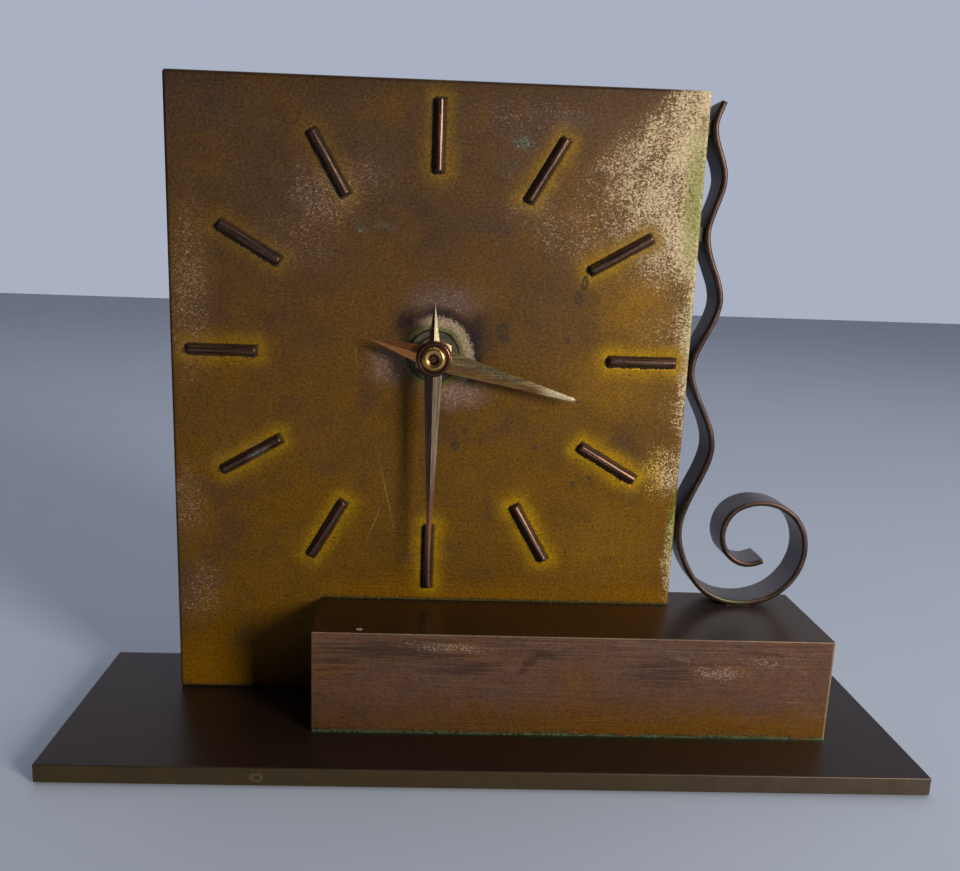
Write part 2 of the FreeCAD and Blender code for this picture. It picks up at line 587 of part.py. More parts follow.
def make_housing():
    """The moulded tray: threaded bush, front and side walls, battery bay and bearings for the train."""
    outer = dial_block("tray_outer", (f"-{HALF}", HALF), (f"-{HALF}", HALF), MOVE_FRONT, COVER_FRONT)
    bush = dial_rod("tray_bush", "Size.bush_radius", "Size.bush_front", f"{MOVE_FRONT} + 0.5")
    inside = f"{MOVE_FRONT} + Size.move_wall"
    gear_room = dial_block("tray_gear_room", (f"-({INNER})", INNER), (GEAR_LOW, INNER), inside, f"{COVER_FRONT} + 1")
    bay = dial_block("tray_bay", (f"-({INNER})", INNER), (f"-({INNER})", BAY_TOP), inside, f"{COVER_FRONT} + 1")
    bore = dial_rod("tray_bore", "Size.bush_bore", "Size.bush_front - 1", f"{inside} + 1")
    tray = cut("tray_shell", joined("tray_blank", outer, bush), gear_room, bay, bore)
    additions = [tray]
    for number, (across, up) in enumerate(POSTS, start=1):
        additions.append(dial_rod(f"tray_post_{number}", "Size.post_radius", f"{inside} - 0.2",
                                  "Size.plate_front", str(across), str(up)))
    stud = (str(MINUTE_WHEEL_AXIS[0]), str(MINUTE_WHEEL_AXIS[1]))
    additions.append(dial_rod("tray_stud", "0.74", f"{inside} - 0.2", f"{inside} + 4.3", *stud))
    third = (str(THIRD_AXIS[0]), str(THIRD_AXIS[1]))
    additions.append(dial_rod("tray_boss", "Size.boss_radius", f"{inside} - 0.2", f"{inside} + Size.boss_tall", *third))
    hole = dial_rod("tray_pivot_hole", "Size.pivot_radius + Size.pivot_play", inside,
                    f"{inside} + Size.boss_tall + 1", *third)
    named(cut("tray_whole", joined("tray_with_posts", *additions), hole), "movement_case")


def make_cover():
    """The moulded rear cover over the train, with posts and bearings; the battery bay stays open."""
    lid = dial_block("cover_lid", (f"-{HALF}", HALF), (BAY_TOP, HALF), COVER_FRONT, MOVE_BACK)
    additions = [lid]
    for number, (across, up) in enumerate(POSTS, start=1):
        additions.append(dial_rod(f"cover_post_{number}", "Size.post_radius", "Size.plate_front + Size.plate_thick",
                                  f"{COVER_FRONT} + 0.2", str(across), str(up)))
    holes = []
    for name, (across, up), radius in (("third", THIRD_AXIS, "Size.pivot_radius"), ("fifth", FIFTH_AXIS, "Size.pivot_radius"),
                                       ("rotor", ROTOR_AXIS, "Size.pivot_radius"),
                                       ("second", (0, 0), "Size.second_arbor_radius")):
        additions.append(dial_rod(f"cover_boss_{name}", "Size.boss_radius", f"{COVER_FRONT} - Size.boss_tall",
                                  f"{COVER_FRONT} + 0.2", str(across), str(up)))
        holes.append(dial_rod(f"cover_hole_{name}", f"{radius} + Size.pivot_play", f"{COVER_FRONT} - Size.boss_tall - 1",
                              COVER_FRONT, str(across), str(up)))
    holes.append(dial_rod("cover_knob_hole", "Size.knob_shaft_radius + Size.pivot_play", f"{COVER_FRONT} - 1",
                          f"{MOVE_BACK} + 1", str(KNOB_AXIS[0]), str(KNOB_AXIS[1])))
    named(cut("cover_drilled", joined("cover_blank", *additions), *holes), "movement_cover")


def make_train_plate():
    """The thin bearing plate between the housing's posts and the cover's posts."""
    body = new_body("train_plate", ("Size.dial_x", "Size.plate_front", "Size.dial_z"))
    outline = sketch_on(body, "XZ_Plane", "plate_outline")
    sketch_rectangle(outline, "51.6", "26.2", "-25.8", f"{GEAR_LOW} + 0.4")
    pad(body, outline, "Size.plate_thick", backwards=True)
    holes = sketch_on(body, "XZ_Plane", "plate_holes")
    clear = "Size.pivot_play"
    for (across, up), radius in (((0, 0), f"Size.minute_pipe_radius + {clear}"), (THIRD_AXIS, f"Size.pivot_radius + {clear}"),
                                 (FIFTH_AXIS, f"Size.pivot_radius + {clear}"), (ROTOR_AXIS, f"Size.pivot_radius + {clear}"),
                                 (KNOB_AXIS, f"Size.knob_shaft_radius + {clear}")):
        sketch_circle(holes, radius, str(across), str(up))
    pocket(body, holes, "Size.plate_thick")
    named(body, "train_plate")


def make_battery():
    """A round cell lying in its bay between a flat contact and a bowed one."""
    cell_y = f"{MOVE_FRONT} + Size.move_wall + Size.cell_radius + 0.2"
    cell_up = f"-({INNER}) + Size.bay_tall / 2"
    along_x = FreeCAD.Rotation(Vector(0, 1, 0), 90)
    parts = []
    for name, radius, long, start in (("cell_can", "Size.cell_radius", "Size.cell_long", "-24.1"),
                                      ("cell_nub", "2.6", "1.4", "-24.1 + Size.cell_long - 0.2")):
        piece = doc.addObject("Part::Cylinder", name)
        piece.setExpression("Radius", radius)
        piece.setExpression("Height", long)
        piece.Placement = FreeCAD.Placement(Vector(), along_x)
        place(piece, (f"Size.dial_x + ({start})", cell_y, f"Size.dial_z + ({cell_up})"))
        parts.append(piece)
    named(joined("cell_whole", *parts), "battery_cell")
    bay_low = f"-({INNER}) + 1.5"
    bay_high = f"{BAY_TOP} - 1.5"
    front = f"{MOVE_FRONT} + Size.move_wall + 1"
    back = f"{COVER_FRONT} - 1"
    flat = dial_block("contact_flat", (f"{INNER} - 0.4", INNER), (bay_low, bay_high), front, back)
    named(flat, "contact_positive")
    plate = dial_block("contact_plate", (f"-({INNER})", f"-({INNER}) + 0.4"), (bay_low, bay_high), front, back)
    finger = dial_block("contact_finger", (f"-({INNER}) + 0.3", "-24.15"), (f"({cell_up}) - 2", f"({cell_up}) + 2"),
                        f"{cell_y} - 0.2", f"{cell_y} + 0.2")
    pad_disc = dial_block("contact_touch", ("-24.5", "-24.12"), (f"({cell_up}) - 3", f"({cell_up}) + 3"),
                          f"{cell_y} - 3", f"{cell_y} + 3")
    named(joined("contact_bowed", plate, finger, pad_disc), "contact_negative")


def make_motor():
    """The stepping motor's coil, laminated stator and magnet, and the board with its crystal."""
    coil_up, coil_y = "21.6", "27.3"
    core = dial_block("stator_core", ("-19", "19.5"), (f"{coil_up} - 1.2", f"{coil_up} + 1.2"), "26.7", "27.9")
    arm = dial_block("stator_arm", ("10", "19.5"), ("7.6", f"{coil_up} + 1.2"), "26.7", "27.9")
    window = dial_rod("stator_window", "3.5", "26", "29", str(ROTOR_AXIS[0]), str(ROTOR_AXIS[1]))
    relief = dial_rod("stator_relief", "2.6", "26", "29", str(FIFTH_AXIS[0]), str(FIFTH_AXIS[1]))
    named(cut("stator_cut", joined("stator_blank", core, arm), window, relief), "stator_plate")
    tube = dial_block("bobbin_tube", ("-17", "8"), (f"{coil_up} - 1.9", f"{coil_up} + 1.9"), "26.0", "28.6")
    cheeks = [dial_block(f"bobbin_cheek_{number}", (low, f"{low} + 1.2"), (f"{coil_up} - 4.6", f"{coil_up} + 4.6"),
                         "22.8", "31.7") for number, low in enumerate(("-17", "6.8"), start=1)]
    slot = dial_block("bobbin_slot", ("-18", "9"), (f"{coil_up} - 1.25", f"{coil_up} + 1.25"), "26.65", "27.95")
    named(cut("bobbin_cut", joined("bobbin_blank", tube, *cheeks), slot), "coil_bobbin")
    along_x = FreeCAD.Rotation(Vector(0, 1, 0), 90)
    winding = doc.addObject("Part::Cylinder", "winding_roll")
    winding.Radius = 4.2
    winding.Height = 23.7 - 1.2
    winding.Placement = FreeCAD.Placement(Vector(), along_x)
    place(winding, ("Size.dial_x - 15.75", coil_y, f"Size.dial_z + {coil_up}"))
    hollow = dial_block("winding_hollow", ("-16", "8"), (f"{coil_up} - 1.95", f"{coil_up} + 1.95"), "25.95", "28.65")
    named(cut("winding_cut", winding, hollow), "coil_winding")
    named(dial_block("board", ("-24", "6"), ("16.8", "26.2"), "18.4", "19.4"), "circuit_board")
    crystal = doc.addObject("Part::Cylinder", "crystal_can")
    crystal.Radius = 1.0
    crystal.Height = 6.0
    crystal.Placement = FreeCAD.Placement(Vector(), along_x)
    place(crystal, ("Size.dial_x - 20", "20.45", "Size.dial_z + 21"))
    named(crystal, "quartz_crystal")


# ---- Movement: train ----------------------------------------------------------------------

WHEEL_SHARE, PINION_SHARE = 0.40, 0.34
WHEEL_TIP, PINION_TIP, ROOT_DEPTH = 0.9, 0.6, 1.2


def toothed_disc(teeth, module, share, tip, thick, phase):
    """A gear about +Y, its front in the plane Y = 0: radial flanks, rounded tips, first tooth at phase."""
    pitch_radius = teeth * module / 2
    root = pitch_radius - ROOT_DEPTH * module
    half = math.pi / teeth * share

    def at(radius, angle):
        return Vector(radius * math.sin(angle), 0, radius * math.cos(angle))

    edges = []
    for tooth in range(teeth):
        middle = phase + 2 * math.pi * tooth / teeth
        low, high, after = middle - half, middle + half, middle + 2 * math.pi / teeth - half
        edges.append(Part.makeLine(at(root, low), at(pitch_radius, low)))
        edges.append(Part.Arc(at(pitch_radius, low), at(pitch_radius + tip * module, middle),
                              at(pitch_radius, high)).toShape())
        edges.append(Part.makeLine(at(pitch_radius, high), at(root, high)))
        edges.append(Part.Arc(at(root, high), at(root, (high + after) / 2), at(root, after)).toShape())
    return Part.Face(Part.Wire(edges)).extrude(Vector(0, thick, 0))


def wheel(teeth, module, y, thick, phase):
    disc = toothed_disc(teeth, module, WHEEL_SHARE, WHEEL_TIP, thick, phase)
    disc.translate(Vector(0, y, 0))
    return disc


def pinion(teeth, module, y, thick, phase):
    disc = toothed_disc(teeth, module, PINION_SHARE, PINION_TIP, thick, phase)
    disc.translate(Vector(0, y, 0))
    return disc


def arbor(radius, y_front, y_back):
    return Part.makeCylinder(radius, y_back - y_front, Vector(0, y_front, 0), Vector(0, 1, 0))


def direction(start, end):
    """The clockwise angle from up of the line from one axis to another."""
    return math.atan2(end[0] - start[0], end[1] - start[1])


def facing_space(teeth, towards):
    """The phase that puts a tooth space, not a tooth, in a direction."""
    return towards + math.pi / teeth


def on_axis(label, axis, shape):
    """A turning piece, moved from the local origin to its own axis in the movement."""
    piece = fixed(f"{label}_turned", shape)
    piece.Placement = FreeCAD.Placement(
        Vector(size("dial_x") + axis[0], 0, size("dial_z") + axis[1]), FreeCAD.Rotation())
    return named(piece, label)


DIAL_AXIS = (0.0, 0.0)
CENTRE_TEETH, THIRD_LEAVES, CENTRE_MODULE = 64, 8, 0.34
THIRD_TEETH, SECOND_LEAVES, THIRD_MODULE = 60, 8, 0.36
SECOND_TEETH, SECOND_MODULE, FIFTH_LEAVES = 60, 0.25, 12
FIFTH_TEETH, ROTOR_LEAVES, ROTOR_MODULE = 60, 10, 0.25
CANNON_LEAVES, MINUTE_TEETH, CANNON_MODULE = 12, 36, 0.35
MINUTE_LEAVES, HOUR_TEETH, HOUR_MODULE = 10, 40, 0.336
KNOB_LEAVES = 12


def make_centre():
    """Centre wheel, cannon pinion and the pipe that carries the minute hand, in one."""
    pipe_back = size("plate_front") + size("plate_thick")
    pipe = size("minute_pipe_radius")
    solid = arbor(pipe, size("minute_hand_back") - size("hub_thick") - 0.9, 19.2)
    solid = solid.fuse([
        arbor(pipe, 21.8, pipe_back),
        wheel(CENTRE_TEETH, CENTRE_MODULE, 22.3, 0.9, direction(DIAL_AXIS, THIRD_AXIS)),
        pinion(CANNON_LEAVES, CANNON_MODULE, 19.2, 2.6,
               facing_space(CANNON_LEAVES, direction(DIAL_AXIS, MINUTE_WHEEL_AXIS)))])
    bore = arbor(size("minute_pipe_bore"), 0, pipe_back + 1)
    on_axis("centre_wheel", DIAL_AXIS, solid.cut(bore))


def make_third():
    solid = arbor(size("pivot_radius"), 17.5, 31.7)
    solid = solid.fuse([
        pinion(THIRD_LEAVES, CENTRE_MODULE, 21.9, 1.7,
               facing_space(THIRD_LEAVES, direction(THIRD_AXIS, DIAL_AXIS))),
        wheel(THIRD_TEETH, THIRD_MODULE, 28.3, 0.7, direction(THIRD_AXIS, DIAL_AXIS))])
    on_axis("third_wheel", THIRD_AXIS, solid)


def make_second():
    """The quick wheel on the centre line, whose arbor runs forward through the minute pipe."""
    solid = arbor(size("second_arbor_radius"), 1.75, 31.7)
    solid = solid.fuse([
        wheel(SECOND_TEETH, SECOND_MODULE, 26.5, 0.5, 0),
        pinion(SECOND_LEAVES, THIRD_MODULE, 27.9, 1.5,
               facing_space(SECOND_LEAVES, direction(DIAL_AXIS, THIRD_AXIS)))])
    on_axis("second_wheel", DIAL_AXIS, solid)


def make_fifth_and_rotor():
    """The wheel between the motor and the second wheel, and the magnet rotor with its own pinion."""
    solid = arbor(size("pivot_radius"), size("plate_front") + 0.05, 31.7)
    solid = solid.fuse([
        pinion(FIFTH_LEAVES, SECOND_MODULE, 26.2, 1.2, 0),
        wheel(FIFTH_TEETH, ROTOR_MODULE, 29.2, 0.6, direction(FIFTH_AXIS, ROTOR_AXIS))])
    on_axis("fifth_wheel", FIFTH_AXIS, solid)
    rotor = arbor(size("pivot_radius"), size("plate_front") + 0.05, 31.7)
    rotor = rotor.fuse(pinion(ROTOR_LEAVES, ROTOR_MODULE, 28.9, 1.2,
                              facing_space(ROTOR_LEAVES, direction(ROTOR_AXIS, FIFTH_AXIS))))
    on_axis("rotor_pinion", ROTOR_AXIS, rotor)
    magnet = arbor(3.0, 26.2, 28.3).cut(arbor(size("pivot_radius") + 0.005, 26, 29))
    on_axis("rotor_magnet", ROTOR_AXIS, magnet)


def make_motion_work():
    """Minute wheel on its stud, hour wheel with its pipe, and the setting shaft in mesh."""
    towards_centre = direction(MINUTE_WHEEL_AXIS, DIAL_AXIS)
    towards_knob = direction(MINUTE_WHEEL_AXIS, KNOB_AXIS)
    solid = wheel(MINUTE_TEETH, CANNON_MODULE, 20.2, 0.9, towards_centre)
    solid = solid.fuse(pinion(MINUTE_LEAVES, HOUR_MODULE, 17.5, 2.9, facing_space(MINUTE_LEAVES, towards_centre)))
    solid = solid.cut(arbor(0.8, 17, 22))
    on_axis("minute_wheel", MINUTE_WHEEL_AXIS, solid)

    hour = arbor(size("hour_pipe_radius"), size("hour_hand_back") - size("hub_thick") - 0.2, 18.0)
    hour = hour.fuse(wheel(HOUR_TEETH, HOUR_MODULE, 17.6, 0.9, direction(DIAL_AXIS, MINUTE_WHEEL_AXIS)))
    hour = hour.cut(arbor(size("hour_pipe_bore"), 0, 20))
    on_axis("hour_wheel", DIAL_AXIS, hour)

    # the wheel's nearest tooth stands this far ahead of the line to the knob
    pitch = 2 * math.pi / MINUTE_TEETH
    ahead = (towards_centre - towards_knob) % pitch
    phase = facing_space(KNOB_LEAVES, towards_knob + math.pi) - ahead * MINUTE_TEETH / KNOB_LEAVES
    shaft_back = 33.1 + 0.2 + size("knob_tall")
    shaft = arbor(size("knob_shaft_radius"), 17.6, shaft_back - 1)
    shaft = shaft.fuse(pinion(KNOB_LEAVES, CANNON_MODULE, 20.0, 1.4, phase))
    on_axis("setting_shaft", KNOB_AXIS, shaft)


def make_knob():
    """A fluted knob pushed on the back end of the setting shaft."""
    flutes = 24
    front = 33.3
    knob = toothed_disc(flutes, 2 * size("knob_radius") / (flutes + 1), 0.5, 0.35, size("knob_tall"), 0)
    knob.translate(Vector(0, front, 0))
    socket = arbor(size("knob_shaft_radius") + 0.01, front - 1, front + size("knob_tall") - 1)
    on_axis("setting_knob", KNOB_AXIS, knob.cut(socket))


make_base()
make_felts()
make_base_screws()
make_plinth()
make_case()
make_rear_panel()
make_lugs_and_rear_screws()
make_strip()
make_markers()
make_dial_fixing()
make_hands()
make_hand_nut()
make_housing()
make_cover()
make_train_plate()
make_battery()
make_motor()
make_centre()
make_third()
make_second()
make_fifth_and_rotor()
make_motion_work()
make_knob()

doc.recompute()
faults = [obj.Name for obj in doc.Objects if {"Invalid", "Error"} & set(obj.State)]
faults += [node.Label for node in nodes if node.Shape.isNull() or not node.Shape.isValid()]
if faults:
    raise RuntimeError(f"not built: {faults}")

os.makedirs("parts", exist_ok=True)
for node in nodes:
    node.Shape.exportStep(f"parts/{node.Label}.step")
    print(f"{node.Label:18s} solids {len(node.Shape.Solids)}  volume {node.Shape.Volume:10.1f} mm3")
print(len(nodes), "sub-parts written")
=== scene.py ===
import math

import bmesh
import bpy
import numpy as np
from mathutils import Matrix, Vector


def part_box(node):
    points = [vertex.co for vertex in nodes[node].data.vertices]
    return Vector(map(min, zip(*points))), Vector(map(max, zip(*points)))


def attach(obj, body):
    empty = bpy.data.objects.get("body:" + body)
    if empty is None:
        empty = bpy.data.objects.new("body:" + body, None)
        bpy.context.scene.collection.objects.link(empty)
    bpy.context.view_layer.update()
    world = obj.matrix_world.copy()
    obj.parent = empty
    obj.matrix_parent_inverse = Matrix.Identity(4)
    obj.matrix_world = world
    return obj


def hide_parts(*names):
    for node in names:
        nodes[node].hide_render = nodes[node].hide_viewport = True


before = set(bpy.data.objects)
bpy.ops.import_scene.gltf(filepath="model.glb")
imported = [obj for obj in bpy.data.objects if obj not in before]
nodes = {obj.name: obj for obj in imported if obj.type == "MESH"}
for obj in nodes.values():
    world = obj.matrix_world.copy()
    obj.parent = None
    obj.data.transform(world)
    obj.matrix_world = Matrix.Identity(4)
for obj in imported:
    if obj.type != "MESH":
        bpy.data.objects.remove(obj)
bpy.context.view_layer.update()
scene = bpy.context.scene
scene.view_settings.view_transform = "Standard"
mm = 0.001
print("frame loaded:", len(nodes), "nodes")


# camera, floor and light

viewFrom = {
    "place": (-0.024468, -0.323151, 0.173556),
    "right": (0.99904781, -0.02779135, 0.03363193),
    "down": (0.02686579, -0.21550087, -0.97613401),
    "forward": (0.03437579, 0.9761081, -0.21454904),
    "lens": 34.82, "sensor": 36.0, "shift": (0.0252, 0.0271),
}


def makeCamera(v):
    data = bpy.data.cameras.new("viewCamera")
    data.lens, data.sensor_width, data.sensor_fit = v["lens"], v["sensor"], "HORIZONTAL"
    data.shift_x, data.shift_y = v["shift"]
    data.clip_start, data.clip_end = 0.01, 50.0
    camera = bpy.data.objects.new("viewCamera", data)
    scene.collection.objects.link(camera)
    axes = np.array([v["right"], [-c for c in v["down"]], [-c for c in v["forward"]]]).T
    camera.matrix_world = Matrix.Translation(v["place"]) @ Matrix(axes.tolist()).to_4x4()
    scene.camera = camera


def tone(r, g, b):      # a display colour, 0 to 255, as linear light
    return tuple(c / 255 / 12.92 if c <= 10 else ((c / 255 + 0.055) / 1.055) ** 2.4 for c in (r, g, b))


lightPlan = {
    "window": {"at": (0.92, -0.98, 0.44), "aim": (-0.02, 0.0, 0.11), "size": (0.36, 0.50),
               "watts": 23.0, "tint": (1.0, 0.965, 0.90)},
    "ceiling": {"at": (0.2, 0.5, 1.5), "aim": (0.0, 0.0, 0.0), "size": (1.6, 1.6),
                "watts": 6.5, "tint": (0.88, 0.93, 1.0)},
    "seen": tone(170, 177, 195), "behind": tone(158, 162, 176), "before": tone(50, 52, 60),
}


def makeLights(plan):
    for name in ("window", "ceiling"):
        p = plan[name]
        data = bpy.data.lights.new(name, "AREA")
        data.shape, data.size, data.size_y = "RECTANGLE", p["size"][0], p["size"][1]
        data.energy, data.color = p["watts"], p["tint"]
        lamp = bpy.data.objects.new(name, data)
        scene.collection.objects.link(lamp)
        aim = Vector(p["aim"]) - Vector(p["at"])
        lamp.rotation_euler = aim.to_track_quat("-Z", "Y").to_euler()
        lamp.location = p["at"]
    # the room is pale behind the clock, dimmer in front and at its left; the camera sees one even pale tone
    world = bpy.data.worlds.new("paleRoom")
    world.use_nodes = True
    tree = world.node_tree
    way = tree.nodes.new("ShaderNodeTexCoord")
    split = tree.nodes.new("ShaderNodeSeparateXYZ")
    tree.links.new(way.outputs["Generated"], split.inputs[0])
    across, depth, up = (Field(tree, out) for out in split.outputs)
    depth = depth + across * 0.6 + up * 0.3
    room = blend(tree, depth.step(-0.5, 0.6), plan["before"], plan["behind"])
    eye = Field(tree, tree.nodes.new("ShaderNodeLightPath").outputs["Is Camera Ray"])
    feed(tree, tree.nodes["Background"].inputs["Color"], blend(tree, eye, room, plan["seen"]))
    scene.world = world


# node helpers: a Field is one output socket, and sums on it add Math nodes

class Field:
    def __init__(self, tree, socket):
        self.tree, self.socket = tree, socket

    def math(self, kind, *others, clamp=False):
        node = self.tree.nodes.new("ShaderNodeMath")
        node.operation, node.use_clamp = kind, clamp
        for slot, value in enumerate((self,) + others):
            feed(self.tree, node.inputs[slot], value)
        return Field(self.tree, node.outputs[0])

    def __add__(self, other): return self.math("ADD", other)
    def __sub__(self, other): return self.math("SUBTRACT", other)
    def __mul__(self, other): return self.math("MULTIPLY", other)
    def __truediv__(self, other): return self.math("DIVIDE", other)
    def abs(self): return self.math("ABSOLUTE")
    def least(self, other): return self.math("MINIMUM", other)
    def most(self, other): return self.math("MAXIMUM", other)

    def step(self, low, high):      # smooth rise from 0 at low to 1 at high, or a fall when low is above high
        node = self.tree.nodes.new("ShaderNodeMapRange")
        node.interpolation_type = "SMOOTHSTEP"
        falls = low > high
        feed(self.tree, node.inputs["Value"], self)
        node.inputs["From Min"].default_value = min(low, high)
        node.inputs["From Max"].default_value = max(low, high)
        node.inputs["To Min"].default_value = 1.0 if falls else 0.0
        node.inputs["To Max"].default_value = 0.0 if falls else 1.0
        return Field(self.tree, node.outputs["Result"])


def feed(tree, socket, value):
    if isinstance(value, Field):
        tree.links.new(value.socket, socket)
    elif isinstance(value, (tuple, list)) and socket.type == "RGBA":
        socket.default_value = (*value[:3], 1.0)
    else:
        socket.default_value = value


def startMaterial(name):      # a new material, with its positions in millimetres
    material = bpy.data.materials.new(name)
    material.use_nodes = True
    tree = material.node_tree
    coords = tree.nodes.new("ShaderNodeTexCoord")
    scaled = tree.nodes.new("ShaderNodeVectorMath")
    scaled.operation = "SCALE"
    scaled.inputs["Scale"].default_value = 1 / mm
    tree.links.new(coords.outputs["Object"], scaled.inputs[0])
    split = tree.nodes.new("ShaderNodeSeparateXYZ")
    tree.links.new(scaled.outputs[0], split.inputs[0])
    xyz = [Field(tree, out) for out in split.outputs]
    return material, tree, tree.nodes["Principled BSDF"], Field(tree, scaled.outputs[0]), xyz


def mapped(tree, place, stretch=(1, 1, 1), shift=(0, 0, 0), turn=0.0, kind="POINT"):
    node = tree.nodes.new("ShaderNodeMapping")
    node.vector_type = kind
    node.inputs["Location"].default_value = shift
    node.inputs["Rotation"].default_value = (0.0, turn, 0.0)
    node.inputs["Scale"].default_value = stretch
    feed(tree, node.inputs["Vector"], place)
    return Field(tree, node.outputs[0])


def noise(tree, place, scale, detail=2.0, rough=0.5, stretch=(1, 1, 1), bend=0.0, shift=(0, 0, 0), turn=0.0):
    node = tree.nodes.new("ShaderNodeTexNoise")
    feed(tree, node.inputs["Vector"], mapped(tree, place, stretch, shift, turn))
    node.inputs["Scale"].default_value = scale
    node.inputs["Detail"].default_value = detail
    node.inputs["Roughness"].default_value = rough
    node.inputs["Distortion"].default_value = bend
    return Field(tree, node.outputs["Fac"])


def warped(tree, place, scale, reach):      # positions pushed about by a noise, up to reach millimetres
    node = tree.nodes.new("ShaderNodeTexNoise")
    feed(tree, node.inputs["Vector"], place)
    node.inputs["Scale"].default_value = scale
    centred = tree.nodes.new("ShaderNodeVectorMath")
    centred.operation = "MULTIPLY_ADD"
    tree.links.new(node.outputs["Color"], centred.inputs[0])
    centred.inputs[1].default_value = (2 * reach,) * 3
    centred.inputs[2].default_value = (-reach,) * 3
    total = tree.nodes.new("ShaderNodeVectorMath")
    total.operation = "ADD"
    feed(tree, total.inputs[0], place)
    tree.links.new(centred.outputs[0], total.inputs[1])
    return Field(tree, total.outputs[0])


def patch(tree, place, cx, cz, rx, rz, lean=0.0, strength=1.0, depth=14.0, core=0.25):
    # an oval on the plane across Y: 1 inside its core, falling smoothly to 0 at 1.3 radii
    local = mapped(tree, place, (rx, 400.0, rz), (cx, depth, cz), math.radians(-lean), "TEXTURE")
    length = tree.nodes.new("ShaderNodeVectorMath")
    length.operation = "LENGTH"
    feed(tree, length.inputs[0], local)
    return Field(tree, length.outputs["Value"]).step(1.3, core) * strength


def patches(tree, place, rows, depth=14.0, core=0.25):
    total = None
    for row in rows:
        one = patch(tree, place, *row, depth=depth, core=core)
        total = one if total is None else total.most(one)
    return total


def blend(tree, amount, first, second, kind="MIX"):
    node = tree.nodes.new("ShaderNodeMix")
    node.data_type, node.blend_type = "RGBA", kind
    feed(tree, node.inputs[0], amount)
    feed(tree, node.inputs[6], first)
    feed(tree, node.inputs[7], second)
    return Field(tree, node.outputs[2])


def bump(tree, shader, height, depth, strength=1.0):
    node = tree.nodes.new("ShaderNodeBump")
    node.inputs["Strength"].default_value = strength
    node.inputs["Distance"].default_value = depth
    feed(tree, node.inputs["Height"], height)
    tree.links.new(node.outputs[0], shader.inputs["Normal"])


def facing(tree, way):      # how much a surface's own normal points along one axis, -1 to 1
    coords = tree.nodes.new("ShaderNodeTexCoord")
    split = tree.nodes.new("ShaderNodeSeparateXYZ")
    tree.links.new(coords.outputs["Normal"], split.inputs[0])
    return Field(tree, split.outputs[way])


def assign(material, *names):
    for name in names:
        mesh = nodes[name].data
        mesh.materials.clear()
        mesh.materials.append(material)


# the dial case: brown patina, golden rings round the hour bars, worn speckle at the edges

dial = {"x": -22.0, "z": 138.4, "ring": 76.0, "half": 12.4, "wide": 1.8}
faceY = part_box("case_shell")[0][1] / mm      # the face's front plane

